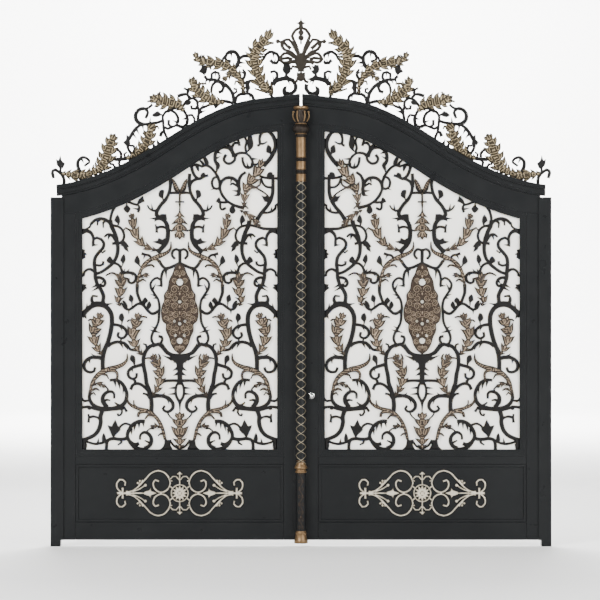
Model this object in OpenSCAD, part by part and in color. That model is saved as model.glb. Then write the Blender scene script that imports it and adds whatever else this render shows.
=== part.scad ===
// Double driveway gate with an ogee top, scrollwork lights and an ornamental crest.
// Millimetres. The origin is the centre of the left post's foot, +X runs along the
// closed gate to the right post, -Y is the street side, +Z is up.

/* [Gateway] */
// Clear width between the two posts
clear_w = 3456; // [2900:8:4200]
// Width and depth of a square post
post_w = 72; // [60:2:110]
// Height of a post above the ground
post_h = 2510; // [2200:10:2900]
// Width of the closing lip on a post, which covers the hinge gap from the street
lip_w = 16; // [12:1:24]
// Clearance between the closing lip and the leaf
lip_gap = 6; // [6:1:8]

/* [Leaves] */
// Thickness of a leaf's stiles and rails
leaf_t = 50; // [40:2:60]
// Gap between a post and the leaf's outer edge
hinge_gap = 6; // [6:1:10]
// Gap between the two leaves
meeting_gap = 14; // [14:1:20]
// Height of the leaves' bottom edge above the ground
leaf_lift = 46; // [30:2:80]
// Width of the stile on the hinge side
hinge_stile_w = 101; // [80:1:130]
// Width of the stile on the meeting side
meeting_stile_w = 117; // [90:1:140]
// Height of the bottom rail
bottom_rail_h = 127; // [90:1:160]
// Height of the recessed lower panel
panel_h = 417; // [320:1:520]
// Height of the rail between the lower panel and the scrollwork light
lock_rail_h = 58; // [45:1:90]

/* [Top sweep] */
// Rise of the cornice from the posts to the middle of the gate
sweep_rise = 654; // [500:2:800]
// Distance from the middle of the gate to the point where the sweep turns
turn_x = 960; // [800:10:1100]
// Height of the turning point above the outer end
turn_rise = 335; // [280:5:380]
// Distance from the middle of the gate to the start of its straight crown
crown_x = 330; // [250:10:420]
// Fall of the straight crown from the middle
crown_fall = 39; // [20:1:60]
// Depth of the cornice mouldings
cornice_h = 79; // [60:1:100]
// Overhang of the cornice over a post
cornice_over = 28; // [10:1:36]
// Gap between a post's top and the overhanging cornice
over_gap = 10; // [7:1:16]

/* [Scrollwork light] */
// Width of the sloping bead around the light
bead_w = 48; // [36:1:60]
// Depth of the top rail at the hinge side, cornice and bead included
light_drop_out = 272; // [230:2:300]
// Depth of the top rail at the meeting side, cornice and bead included
light_drop_in = 246; // [220:2:280]
// Thickness of the frosted glass
glass_t = 6; // [4:1:10]
// Depth that the glass enters the bead's groove
glass_grip = 8; // [5:1:12]
// Thickness of the scrollwork bars
bar_t = 16; // [10:1:20]
// Thickness of the bronze leaves on the bars
leaf_relief = 8; // [5:1:12]

/* [Lower panel] */
// Thickness of the recessed panel
panel_t = 24; // [16:1:30]
// Width of the moulding around the recessed panel
moulding_w = 20; // [14:1:30]
// Thickness of the gilded ornament
ornament_t = 8; // [5:1:12]

/* [Crest] */
// Clearance between the palmette and the crest of the leaf that doesn't carry it
palmette_gap = 6.4; // [6:0.2:12]

/* [Column] */
// Diameter of the column that covers the meeting gap
column_d = 72; // [60:1:84]
// Clearance between the column's flat back and the leaves
column_gap = 7; // [6:1:12]
// Height of the column's foot above the ground
column_lift = 28; // [15:1:40]
// Height of the top of the column's base
base_top = 116; // [100:2:150]
// Height of the collar between the carved and the latticed shaft
collar_z = 560; // [500:5:620]

/* [Hinges] */
// Diameter of a hinge barrel
barrel_d = 28; // [24:1:36]
// Diameter of a hinge pin
pin_d = 14; // [10:1:18]
// Radial clearance of a pin in its barrel
pin_play = 0.08; // [0.04:0.01:0.1]
// Height of one hinge barrel half
barrel_h = 45; // [35:1:60]

/* [Lock] */
// Diameter of the pull knob
knob_d = 37; // [30:1:50]
// Height of the pull knob above the ground
knob_z = 1083; // [950:5:1200]

/* [Hidden] */
$fn = 48;

black = "#26282a";
bronze = "#8a7355";
gold = "#b3a078";

// Places along the gate, measured from its middle towards the left post
mid_x = clear_w / 2 + post_w / 2;
edge_out = -(clear_w / 2 - hinge_gap);
edge_in = -meeting_gap / 2;
field_out = edge_out + hinge_stile_w;
field_in = edge_in - meeting_stile_w;
light_out = field_out + bead_w;
light_in = field_in - bead_w;
light_mid = (light_out + light_in) / 2;
face = leaf_t / 2;

// Heights
panel_z = leaf_lift + bottom_rail_h;
lock_rail_z = panel_z + panel_h;
bead_z = lock_rail_z + lock_rail_h;
light_z = bead_z + bead_w;
shoulder_z = post_h + over_gap + cornice_h;
apex_z = shoulder_z + sweep_rise;

// The cornice's top line: two quadratic sweeps that meet at the turning point, then a
// straight crown, with a short run-on past each end so that parallel lines reach it
end_x = -(clear_w / 2 + cornice_over);
end_slope = 0.1;
turn_slope = 0.66;
run_on = 90;
end_p = [end_x, shoulder_z];
turn_p = [-turn_x, shoulder_z + turn_rise];
crown_p = [-crown_x, apex_z - crown_fall];
crown_slope = crown_fall / crown_x;
function meet(p, m, q, k) =
  let (x = (q[1] - p[1] + m * p[0] - k * q[0]) / (m - k)) [x, p[1] + m * (x - p[0])];
function sweep_part(a, b, c, n) =
  [for (i = [0:n - 1]) let (t = i / n) (1 - t) * (1 - t) * a + 2 * t * (1 - t) * b + t * t * c];
top_line = concat(
  [end_p - run_on * [1, end_slope]],
  sweep_part(end_p, meet(end_p, end_slope, turn_p, turn_slope), turn_p, 10),
  sweep_part(turn_p, meet(turn_p, turn_slope, crown_p, crown_slope), crown_p, 10),
  [crown_p, [0, apex_z], [run_on, apex_z + run_on * crown_slope]]
);
last = len(top_line) - 1;
function unit(v) = v / norm(v);
function inward(i) =
  let (t = unit(top_line[min(i + 1, last)] - top_line[max(i - 1, 0)])) [t[1], -t[0]];
// The top line moved inwards, by a at the hinge side and by b at the meeting side
function moved_line(a, b) =
  [for (i = [0:last]) top_line[i] + (a + (b - a) * i / last) * inward(i)];

// Everything below a moved top line
module below(a, b) {
  line = moved_line(a, b);
  polygon(concat([[line[0][0], 0]], line, [[line[last][0], 0]]));
}
// The part of that between two uprights and above a sill
module field(a, b, x0, x1, z0) {
  intersection() {
    below(a, b);
    translate([x0, z0]) square([x1 - x0, 2 * apex_z]);
  }
}
module light_field(grow) {
  field(light_drop_out - grow, light_drop_in - grow, light_out - grow, light_in + grow,
    light_z - grow);
}
// Stands a drawing up: drawing X along the gate, drawing Y upwards, from y0 to y1
module upright(y0, y1) {
  translate([0, y1, 0]) rotate([90, 0, 0]) linear_extrude(y1 - y0) children();
}
module block(x0, x1, y0, y1, z0, z1) {
  translate([x0, y0, z0]) cube([x1 - x0, y1 - y0, z1 - z0]);
}
module left() { translate([mid_x, 0, 0]) children(); }
module right() { translate([mid_x, 0, 0]) mirror([1, 0, 0]) children(); }

// Posts and hinges
hinge_x = -clear_w / 2 + hinge_gap / 2;
hinge_y = max(post_w, leaf_t) / 2 + 6 + barrel_d / 2;
hinge_heights = [330, 1250, 2180];
knuckle_gap = 2;
arm_w = 36;

module post() {
  color(black) union() {
    block(-clear_w / 2 - post_w, -clear_w / 2, -post_w / 2, post_w / 2, 0, post_h);
    block(-clear_w / 2 - lip_w, -clear_w / 2 + hinge_gap + lip_w, -post_w / 2, -face - lip_gap,
      leaf_lift, post_h);
  }
}
module post_hinge(z) {
  translate([hinge_x, hinge_y, z]) cylinder(d = barrel_d, h = barrel_h);
  block(hinge_x - arm_w, hinge_x, post_w / 2, hinge_y + barrel_d / 4, z, z + barrel_h);
  translate([hinge_x, hinge_y, z + barrel_h]) cylinder(d = pin_d, h = barrel_h + 8);
}
module post_hinges() {
  color(black) for (z = hinge_heights) union() post_hinge(z);
}
module leaf_hinge(z) {
  difference() {
    union() {
      translate([hinge_x, hinge_y, z]) cylinder(d = barrel_d, h = barrel_h);
      block(edge_out, hinge_x + arm_w, face, hinge_y + barrel_d / 4, z, z + barrel_h);
    }
    translate([hinge_x, hinge_y, z - 1]) cylinder(d = pin_d + 2 * pin_play, h = barrel_h + 2);
  }
}
module leaf_hinges() {
  color(black) for (z = hinge_heights) leaf_hinge(z + barrel_h + knuckle_gap);
}

// Frame of a leaf
hinge_stile_top = lookup(field_out, moved_line(light_drop_out - bead_w, light_drop_in - bead_w));
meeting_stile_top = lookup(field_in, moved_line(light_drop_out - bead_w, light_drop_in - bead_w));
module hinge_stile() {
  color(black) block(edge_out, field_out, -face, face, leaf_lift, hinge_stile_top);
}
module meeting_stile() {
  color(black) block(field_in, edge_in, -face, face, leaf_lift, meeting_stile_top);
}
module bottom_rail() {
  color(black) block(field_out, field_in, -face, face, leaf_lift, panel_z);
}
module lock_rail() {
  color(black) block(field_out, field_in, -face, face, lock_rail_z, bead_z);
}
module top_rail() {
  color(black) upright(-face, face) difference() {
    field(cornice_h, cornice_h, edge_out, edge_in, bead_z);
    light_field(bead_w);
    translate([edge_out - 1, 0]) square([hinge_stile_w + 1, hinge_stile_top]);
    translate([field_in, 0]) square([meeting_stile_w + 1, meeting_stile_top]);
  }
}
// Depths of the cornice's steps below its top line, and how far each stands proud
cornice_steps = [[0, 29, 32], [29, 38, 22], [38, 64, 16], [64, cornice_h, 8]];
module cornice() {
  color(black) union() for (s = cornice_steps)
    upright(-face - s[2], face + s[2]) difference() {
      field(s[0], s[0], end_x, edge_in, 0);
      below(s[1], s[1]);
    }
}
// Bead around the light: three steps down to the scrollwork
glass_y = bar_t / 2;
bead_steps = [[0, 1 / 3, 9], [1 / 3, 2 / 3, 6], [2 / 3, 1, 3]];
module light_bead() {
  color(black) difference() {
    union() for (s = bead_steps)
      upright(-face + s[2], face - s[2]) difference() {
        light_field(bead_w * s[1]);
        light_field(bead_w * s[0]);
      }
    upright(glass_y, glass_y + glass_t) light_field(glass_grip);
  }
}
module frosted_glass() {
  color("#ece6dc", 0.9) upright(glass_y, glass_y + glass_t) light_field(glass_grip);
}

// Lower panel
module lower_panel() {
  color(black) block(field_out, field_in, -panel_t / 2, panel_t / 2, panel_z, lock_rail_z);
}
module panel_moulding() {
  color(black) for (y = [-face + 4, panel_t / 2])
    difference() {
      block(field_out, field_in, y, y + face - 4 - panel_t / 2, panel_z, lock_rail_z);
      block(field_out + moulding_w, field_in - moulding_w, y - 1, y + face, panel_z + moulding_w,
        lock_rail_z - moulding_w);
    }
}
panel_mid = [(field_out + field_in) / 2, panel_z + panel_h / 2];
module panel_ornament() {
  color(gold) upright(-panel_t / 2 - ornament_t, -panel_t / 2) translate(panel_mid)
    offset(delta = 0.01) ornament_drawing();
}
// Drawing tools for scrollwork. Widths are in the drawing's own squares.
function on_curve(p, i, t) =
  let (a = p[max(i - 1, 0)], b = p[i], c = p[i + 1], d = p[min(i + 2, len(p) - 1)])
    b + t * (c - a) / 2 + t * t * (a - 2.5 * b + 2 * c - 0.5 * d)
      + t * t * t * (-a + 3 * b - 3 * c + d) / 2;
// Points along a smooth line through p: n to a step, or one where the step is nearly straight
flat_enough = 0.35;
function spline(p, n) = concat(
  [for (i = [0:len(p) - 2])
    let (bend = norm(on_curve(p, i, 0.5) - (p[i] + p[i + 1]) / 2), m = bend < flat_enough ? 1 : n)
      for (k = [0:m - 1]) on_curve(p, i, k / m)],
  [p[len(p) - 1]]);
function left_of(v) = let (u = unit(v)) [-u[1], u[0]];
// A bar along a smooth line through p, w0 wide at its start and w1 at its end
module bar(p, w0, w1, n = 2) {
  s = spline(p, n);
  m = len(s) - 1;
  edge = [for (i = [0:m]) (w0 + (w1 - w0) * i / m) / 2
    * left_of(s[min(i + 1, m)] - s[max(i - 1, 0)])];
  polygon(concat([for (i = [0:m]) s[i] + edge[i]], [for (i = [m:-1:0]) s[i] - edge[i]]));
}
// Ball end of a scroll
module ball(c, r) { translate(c) circle(r, $fn = 8); }
// Thorn from a wide foot at a to a point at b
module thorn(a, b, w) {
  polygon([a + w / 2 * left_of(b - a), b, a - w / 2 * left_of(b - a)]);
}
// Bud or plain leaf with a rounded outline through p
module bud(p) {
  m = len(p);
  polygon([for (i = [0:m - 1], k = [0, 1])
    k == 0 ? p[i] : (9 * (p[i] + p[(i + 1) % m]) - p[(i + m - 1) % m] - p[(i + 2) % m]) / 16]);
}
// Pointed lobes down one side of a midrib s: w is the leaf's half width, n the lobes. Each
// lobe is given as steps along the rib and shares of the width, from its root to its tip. The
// cuts between lobes go in to cut, as a share of the width.
function lobe_shape(cut) = [[0, cut], [0.45, 0.6 + 0.6 * cut], [1.1, 1.12], [0.9, cut + 0.12]];
function rib(s, t) = let (m = len(s) - 1, x = min(t, 1) * m, i = min(floor(x), m - 1))
  s[i] + (x - i) * (s[i + 1] - s[i]);
function rib_left(s, t) = let (m = len(s) - 1, i = min(floor(min(t, 1) * m), m - 1))
  left_of(s[i + 1] - s[i]);
function swell(t) = 0.3 + 0.7 * sin(180 * pow(min(t, 1), 1.4));
function lobes(s, w, n, cut) = [for (k = [0:n - 1], q = lobe_shape(cut))
  let (t = (k + q[0]) / (n + 0.4)) rib(s, t) + w * q[1] * swell(t) * rib_left(s, t)];
// Acanthus leaf with n pointed lobes a side along a midrib through p
module frond(p, w, n, cut = 0.3) {
  s = spline(p, 2);
  l = lobes(s, w, n, cut);
  r = lobes(s, -w, n, cut);
  polygon(concat(l, [p[len(p) - 1]], [for (i = [len(r) - 1:-1:0]) r[i]]));
}

// Scrollwork of the light, on squares a two-hundredth of its width, from its sill's middle.
// The lower field, drawn for the hinge side and mirrored to the meeting side.
module grille_half() {
  // Big ring over the corner
  bar([[-72, 70.5], [-66, 71], [-60, 68], [-56, 62], [-54.5, 56], [-56, 49], [-60, 44.5],
    [-66, 42]], 2.5, 4.5);
  bar([[-60, 44], [-64, 45.5], [-67, 48]], 3.5, 1);
  bar([[-92, 60], [-93, 53], [-91, 47.5], [-86, 43.5], [-79, 41.5], [-70, 41.5], [-61, 43.5]],
    3, 4.5);
  bar([[-75, 43], [-79, 48.5], [-79, 54], [-75.5, 58], [-70.5, 59], [-67.5, 56.5],
    [-67.5, 52]], 4.5, 2, 3);
  bar([[-78, 49], [-75.5, 50.5], [-71.5, 50]], 3, 1.2);
  bar([[-79, 63.5], [-76, 64], [-74, 61.5], [-74.5, 58]], 1.2, 2);
  thorn([-67, 70], [-66, 64], 3);
  thorn([-63, 69], [-61.5, 61.5], 3);
  thorn([-58, 64], [-58.5, 57], 3);
  // Bar under it and its ends
  bar([[-101, 42.5], [-94, 43.5], [-88, 41.5], [-80, 39.5], [-70, 40.5], [-60, 41.5],
    [-56, 42.5]], 2.5, 2.5);
  ball([-93, 42.5], 2.3);
  bar([[-57, 43], [-56, 41], [-54.5, 38.5]], 1.5, 2.5);
  bar([[-101, 52.5], [-98, 49.5], [-92, 50]], 2, 2);
  bar([[-60, 41], [-59.5, 38], [-61, 35], [-63.5, 34.5], [-64, 36.5]], 1.8, 1.8);
  // Stem into the corner
  bar([[-79.5, 40], [-81.5, 34], [-81.5, 27], [-83.5, 20], [-88, 14.5], [-94, 11.5],
    [-101, 9]], 4.5, 3.5);
  bar([[-81.5, 29], [-84.5, 32.5], [-89, 33.5], [-93.5, 32.5]], 2, 2.5);
  bar([[-94, 36], [-93.5, 32], [-94, 27.5]], 1.5, 2.5, 1);
  bar([[-97, 8.5], [-92, 6.5], [-86, 5.5], [-80, 6.5], [-75, 9]], 2, 2.5);
  bud([[-79.5, 7], [-80, 12], [-78.3, 16.5], [-76.3, 12], [-76.5, 7]]);
  thorn([-84.5, 6], [-83.5, 11], 2.5);
  polygon([[-101, -1], [-101, 9], [-97, 8], [-95.5, 5], [-96.5, -1]]);
  bar([[-75.5, -1], [-75.2, 5], [-73.5, 9.5], [-68, 11], [-63, 10.3], [-57, 10.5],
    [-53, 12]], 3, 3.5);
  bar([[-60, 10], [-60.5, 6.5], [-64, 4.5]], 3, 1);
  // Second ring by the sill
  bar([[-36, 28.5], [-42, 28.5], [-48, 25.5], [-52.5, 19.5], [-54, 13], [-51, 7.5],
    [-46, 4.8], [-42, 6]], 3.5, 3.5);
  bar([[-52, 8], [-48, 3], [-42, 0.5], [-34, -0.5]], 3, 4);
  bar([[-41, 10], [-40.5, 14.5], [-37, 17.3], [-33, 16.3], [-29.8, 12.5], [-29.3, 7.5],
    [-31.5, 3.5], [-36, 1]], 2, 4, 3);
  bar([[-30, 6], [-33, 7.5], [-36, 9]], 2.5, 1);
  bar([[-33.5, 16], [-33.5, 19], [-30, 21.3], [-27, 21]], 1.2, 1.2);
  thorn([-38, 28.5], [-37, 23], 3);
  thorn([-42, 28], [-42, 21.5], 3);
  thorn([-46, 25.5], [-47, 19], 3);
  thorn([-50, 21], [-49.5, 15], 3);
  polygon([[-15.5, 12], [-13, 9.3], [-9, 9.8], [-9.8, 5], [-7, -1], [-21, -1], [-17, 3],
    [-15.8, 8]]);
  bar([[-9.5, 8.5], [-6, 3.5], [0, 1]], 1.5, 2.5);
  // Large bud between the rings
  bud([[-68.5, 12], [-71.5, 18], [-74, 24.5], [-70, 23.5], [-66.5, 30], [-64, 24.5],
    [-61, 20], [-66, 15]]);
  bar([[-63, 19], [-61, 23.5], [-56, 26.3], [-50, 24.5]], 2.2, 2);
  // Inner vine
  bar([[-26, 107], [-31, 105], [-35.5, 99.5], [-37.5, 92], [-37, 84], [-35.3, 76],
    [-34.3, 68], [-31.5, 60], [-29.5, 52], [-29, 45], [-29.5, 38]], 3.5, 4.5);
  bar([[-19.2, 173], [-23, 175.3], [-27, 173.8], [-30, 169.5], [-29.3, 164], [-26, 159],
    [-22.3, 153], [-21, 146], [-21.5, 138], [-22, 131], [-24, 125.5], [-27.5, 120],
    [-29.3, 113.5], [-27, 108], [-21, 107.5], [-18.3, 111.5], [-18.8, 115], [-22, 115.8]],
    2.2, 2.6);
  bar([[-12, 184.5], [-16.5, 183], [-18.7, 178], [-19.2, 172], [-18.8, 167.5]], 2.5, 2.5);
  thorn([-18, 167.3], [-24, 167.3], 2.8);
  thorn([-28, 163.5], [-25, 169], 2.5);
  thorn([-25, 157], [-30, 158.5], 2.5);
  thorn([-23, 155], [-27.5, 154.5], 2.5);
  thorn([-24, 123], [-29, 125.7], 2.5);
  thorn([-26, 120.5], [-31, 122.3], 2.5);
  thorn([-26, 121], [-20.3, 119.3], 2.5);
  bar([[-28, 105.5], [-22, 107.5], [-17, 103.5], [-13, 99], [-7, 96], [0, 95.5]], 3.5, 4.5);
  thorn([-8, 92], [-17.5, 96], 3.5);
  thorn([-14, 101], [-18, 109], 3);
  bar([[-37.5, 108], [-34.8, 107], [-34, 102]], 1.5, 2.2);
  // Middle stem below the medallion
  polygon([[-12, 98], [-8, 91], [-4, 88], [-2.6, 80], [-2.2, 66], [0.1, 66], [0.1, 98]]);
  thorn([-1, 91], [-6.5, 88.5], 4);
  thorn([-1, 84], [-7, 80.5], 4);
  thorn([-1, 78], [-6.5, 75.5], 4);
  bar([[-21, 66], [-16, 69.5], [-8, 70.3], [0.1, 70]], 2.5, 3);
  bar([[0, 70], [-3.2, 65.5], [-4.3, 60], [-3.8, 55], [-2, 51], [0, 48]], 2.2, 2.6);
  thorn([-3.5, 63], [-11, 62.5], 3);
  thorn([-3.2, 57], [-11.5, 56.3], 3);
  thorn([0, 51], [0, 37], 4.5);
  // Arch and curl beside the stem
  bar([[-50.5, 61], [-48.5, 65.5], [-43.5, 67.3], [-38, 65], [-33.5, 60.5], [-30, 55]], 3, 3);
  bar([[-48.3, 72.5], [-46, 69.5], [-46.5, 66]], 2.5, 3);
  bar([[-38, 57], [-34, 56], [-31, 52]], 1.8, 2.5);
  bar([[-30, 54], [-24, 54.8], [-17, 54.5], [-11.5, 52], [-7.5, 47.5], [-7.2, 42.5],
    [-10.5, 39], [-14.5, 38.7], [-17.5, 41.5], [-15.5, 44.5]], 4.5, 2, 3);
  thorn([-18.5, 54], [-15.5, 58], 3.5);
  thorn([-13.5, 53], [-11.3, 46.5], 2.8);
  bar([[-13, 38.5], [-11, 34.5], [-7, 30.5]], 1.5, 1);
  // Curl by the stile
  bar([[-79, 92.5], [-84.5, 94], [-90.5, 94], [-96, 91], [-98.3, 86], [-96.8, 80.8],
    [-92, 78.8], [-88.2, 80.2], [-87, 83.8]], 4, 2.2, 3);
  thorn([-93, 94], [-92.7, 88], 3.5);
  thorn([-85, 93.5], [-91.5, 98], 3.5);
  // Outer vine
  bar([[-101, 136], [-97, 141], [-92, 145.5], [-85.5, 148], [-78.5, 147], [-73.5, 143.5],
    [-70.5, 138], [-69.8, 131], [-70.5, 124], [-72, 116.5], [-74.3, 109], [-77, 102.5],
    [-78.7, 96], [-79.3, 90], [-79.3, 81]], 5, 4.2);
  thorn([-99, 139], [-96, 133.5], 5);
  thorn([-96, 142], [-95.5, 149], 4);
  bar([[-70.3, 127.8], [-65, 127.3], [-60, 126], [-56.3, 123], [-54.8, 118.5],
    [-57, 114.7], [-60.5, 113.7], [-63.8, 116], [-63, 119.8]], 3, 2.2, 3);
  thorn([-61.5, 126], [-59.3, 121], 2.8);
  bar([[-60.3, 114], [-61, 109]], 1.6, 1.6, 1);
  bud([[-60.3, 126.5], [-60.2, 130.5], [-62.7, 133.5], [-62, 137.5], [-59, 139.3],
    [-57.3, 134.5], [-58.5, 131]]);
  bar([[-74, 105.5], [-70, 108.3], [-64, 109.8], [-58, 109], [-54, 105.8], [-51, 102.3],
    [-45, 101.2]], 3.5, 2.5);
  thorn([-61, 109], [-58.5, 103.5], 3);
  thorn([-56, 107], [-53.5, 101.5], 3.5);
  bar([[-37.5, 87], [-43.5, 85.3], [-49, 83.5], [-53, 79.3], [-52.3, 74.2], [-48.3, 72],
    [-44.7, 74], [-44.3, 77.8]], 3.5, 2.2, 3);
  bud([[-46.5, 84], [-48.3, 88.5], [-51, 91.5], [-50, 96.5], [-46.3, 94.5], [-45.8, 89.5]]);
  thorn([-49.5, 84], [-48.3, 79], 2.8);
  // Wavy bar between the vines
  bar([[-59, 149.5], [-56.5, 144.5], [-52, 142.8], [-48.5, 145], [-44, 148.3],
    [-40, 148.8], [-36.5, 146.3], [-33, 142], [-29.3, 139], [-25.5, 139.3], [-21.5, 142]],
    2.5, 3);
  thorn([-52.5, 143.5], [-52.5, 138.5], 2.5);
  bud([[-33.7, 142.5], [-34, 147], [-31.5, 151.5], [-29.3, 147.5], [-31.3, 144]]);
  bud([[-54.5, 143.5], [-57.5, 147], [-58.8, 152], [-56, 151], [-53.8, 147]]);
  bud([[-49.3, 145], [-50, 150.5], [-52.7, 152.5], [-51.2, 158.5], [-47.7, 155],
    [-48.6, 150.5]]);
  bud([[-36.5, 147], [-38.7, 151.2], [-35.7, 155.5], [-32.8, 151.8], [-35, 149.5]]);
  bar([[-39.5, 148.5], [-41.7, 154], [-43.7, 160], [-43.8, 168.5]], 2.5, 3.5);
  // Long vine by the stile
  bar([[-88, 215], [-85.3, 216.5], [-81, 214.7], [-78.3, 211], [-79, 206.3],
    [-83, 201.7], [-86.8, 196.5], [-88, 190], [-87.2, 183], [-87, 176], [-85, 169],
    [-81, 163], [-78.6, 157], [-79, 151], [-78, 146.5]], 2.5, 4.2);
  bar([[-101, 221.5], [-96, 223.5], [-91.5, 221.5], [-89, 216.5], [-89.2, 209]], 4, 2.6);
  thorn([-90.5, 208.7], [-84.5, 209.2], 2.8);
  bar([[-82, 203.5], [-79.5, 201], [-76.5, 203.5]], 1.6, 1.3);
  polygon([[-101, 205], [-97.5, 204], [-98, 201.5], [-95.5, 199.5], [-97.5, 198.5],
    [-97, 196], [-101, 194]]);
  bar([[-87, 188.7], [-82.5, 188], [-79, 189.3], [-78.7, 192.3]], 2.2, 2.4);
  bar([[-101, 177], [-98.7, 178], [-98, 181.3], [-95, 183.8], [-91.5, 184], [-87, 181]], 2, 2.8);
  bar([[-87, 175.5], [-82.5, 175.7], [-78.5, 174], [-76.7, 170], [-79, 166.7],
    [-82.3, 169]], 3, 2.2, 3);
  thorn([-78, 173], [-80.5, 169.5], 2.5);
  polygon([[-101, 169], [-96, 168.5], [-97, 166.5], [-95.3, 165], [-98, 163], [-101, 160]]);
  thorn([-85.5, 168], [-90.5, 165.5], 2.8);
  thorn([-83, 166], [-90, 162], 2.8);
  bar([[-84.5, 156.5], [-89.5, 157], [-90.5, 152], [-88, 147.5]], 1.5, 3.8);
  polygon([[-93, 144], [-91.5, 150.5], [-86, 151.5], [-80, 151.2], [-76, 149.5],
    [-72.5, 144.5], [-78, 146.5], [-85, 148], [-90, 146]]);
  thorn([-76, 148], [-69.3, 149.3], 3);
  // Second stem and the bar towards the vines
  bar([[-71.5, 234], [-70.5, 228.5], [-67.5, 222.5], [-65, 215.5], [-63.8, 208],
    [-64.2, 200.5], [-66.5, 194], [-70.3, 189], [-75.5, 184.8], [-81, 181.3],
    [-87, 179.3]], 4.5, 2.6);
  bar([[-77.5, 217.3], [-74.5, 219.8], [-70, 219], [-65.5, 213]], 1.5, 3.5);
  thorn([-72.3, 219.5], [-73.7, 214.5], 3);
  bar([[-69.5, 210.3], [-64, 211.2], [-59.5, 211.5]], 2.6, 2.6, 1);
  bar([[-70, 229.5], [-63.5, 228], [-59.3, 224.5], [-57.3, 218.5], [-59, 213],
    [-62.5, 210.8]], 2.3, 2.6);
  polygon([[-60.5, 213.5], [-57, 213], [-55, 211.3], [-52.3, 207.3], [-54, 206.5],
    [-52.7, 202], [-57, 204.7], [-58, 207], [-60.5, 208.5]]);
  bud([[-69, 189.5], [-74.5, 191.5], [-75, 194], [-72, 197.5], [-69.5, 194.5]]);
  bud([[-60, 186], [-59.2, 190.5], [-61, 193], [-60, 196.5], [-57.2, 199.7], [-56, 194],
    [-57.7, 190.3]]);
  bar([[-69.5, 190.3], [-65.5, 190], [-61.7, 187.3], [-59.8, 183], [-59.3, 179]], 2.4, 2.8);
  bar([[-60.5, 180], [-54, 180.8], [-48.5, 180.3], [-45.3, 177], [-46.5, 171.8],
    [-49.8, 170], [-52.6, 171.5], [-53, 175]], 3, 2.2, 3);
  thorn([-58.5, 180.5], [-56.3, 184.5], 3);
  thorn([-54.5, 181], [-52, 184.5], 3);
  thorn([-50.5, 181], [-48.3, 177], 3);
  // Twig, bud and strokes beside the long bronze leaf
  bar([[-28.5, 194.5], [-32, 198.5], [-35, 199], [-39.3, 200.3]], 2.2, 2.6);
  thorn([-35.5, 199.5], [-37.5, 194.8], 2.6);
  bud([[-40, 186], [-43, 188.8], [-46.7, 191.5], [-46, 195], [-43.7, 198.3], [-41.3, 193.5],
    [-41.3, 190]]);
  bar([[-21.5, 193], [-18.3, 188], [-14.5, 185], [-10, 186], [-5.5, 188], [0.1, 190.5]],
    3, 2.8);
  thorn([-14.5, 184], [-13.8, 175.5], 3);
  bar([[-5, 194.7], [-7.7, 198], [-7.3, 202.3], [-4, 204.7], [0.1, 203.5]], 2.4, 2.4);
  bar([[0, 205], [0, 189]], 3.5, 3, 1);
  bar([[-21, 237.5], [-15.5, 233.5], [-12.8, 228], [-12.2, 221], [-13, 214],
    [-16, 208.5], [-21.5, 203.5]], 4, 4.5);
  polygon([[-30.5, 236.3], [-26, 237], [-22, 239], [-19, 240.5], [-14, 240.5],
    [-13.3, 235], [-17, 233.5], [-22, 234.5], [-26, 233.3], [-25.5, 235]]);
  bar([[-12.5, 225], [-16.5, 227.3], [-20.5, 227.5], [-24.3, 226.3]], 2.2, 2.6);
  bar([[-25, 230], [-24, 226], [-23.8, 221.7]], 1.4, 2.5, 1);
  thorn([-12, 224], [-7.5, 224], 3.5);
  polygon([[-27.5, 212.3], [-23, 213.5], [-21.7, 216.3], [-18, 214.3], [-15.5, 216],
    [-12.5, 213], [-15, 208.5], [-20, 209.7], [-24.5, 211]]);
  polygon([[-26, 204.7], [-16.5, 205.5], [-21, 199]]);
  // Upper stem to the top rail
  bar([[-10, 282], [-9.7, 272], [-10.8, 263], [-14.5, 255.5], [-19.5, 250], [-23, 244.5],
    [-24, 240], [-21.5, 236.5]], 3, 4);
  bud([[-17, 253], [-18.3, 256.5], [-21.8, 259], [-20.7, 264.5], [-16.3, 265],
    [-17, 259.5]]);
  bar([[-23.5, 244.5], [-27.5, 244], [-31, 246], [-33.3, 249.5]], 2.6, 1.2);
  thorn([-28, 244], [-29, 250.5], 2.4);
  bar([[-11, 262], [-6, 262.5], [0.1, 262.3]], 2.2, 2.6);
  thorn([0, 266], [0, 255], 4);
  bar([[0, 262], [-5, 266], [-6.2, 272]], 3, 1.5);
  // Bud on the stem
  bud([[-63.8, 227.5], [-64.3, 231.5], [-67.3, 234], [-64, 240], [-61.6, 233.8]]);
}

// Upper field of the hinge side, under the low end of the sweep
module grille_low_end() {
  bar([[-66.5, 248], [-69.5, 243], [-71, 237.5], [-71.5, 232]], 2.4, 2.6);
  bar([[-53, 253], [-47.5, 251], [-43, 250], [-41.7, 246], [-43, 242.5]], 2.2, 2.2);
  thorn([-42, 245.5], [-48, 246.5], 2.5);
  bud([[-54.5, 253], [-55.5, 249], [-58, 246], [-54, 241.8], [-50.8, 246], [-53.5, 249.5]]);
  bar([[-91.3, 230.5], [-87, 234.5], [-81, 236], [-75.5, 234.5], [-71.5, 231],
    [-69.8, 227.5]], 2.6, 3.4);
  bar([[-81, 236], [-84.5, 233], [-84.8, 229]], 3, 1);
  bar([[-75.5, 234.5], [-79, 231.5], [-78.6, 226.5]], 3, 1);
  bar([[-101, 224], [-95.5, 225.5], [-92.3, 228], [-91.3, 232]], 2.4, 1.4);
  polygon([[-45, 249], [-42, 255.5], [-38, 259], [-36.3, 253.5], [-39, 252.5]]);
}

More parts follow.
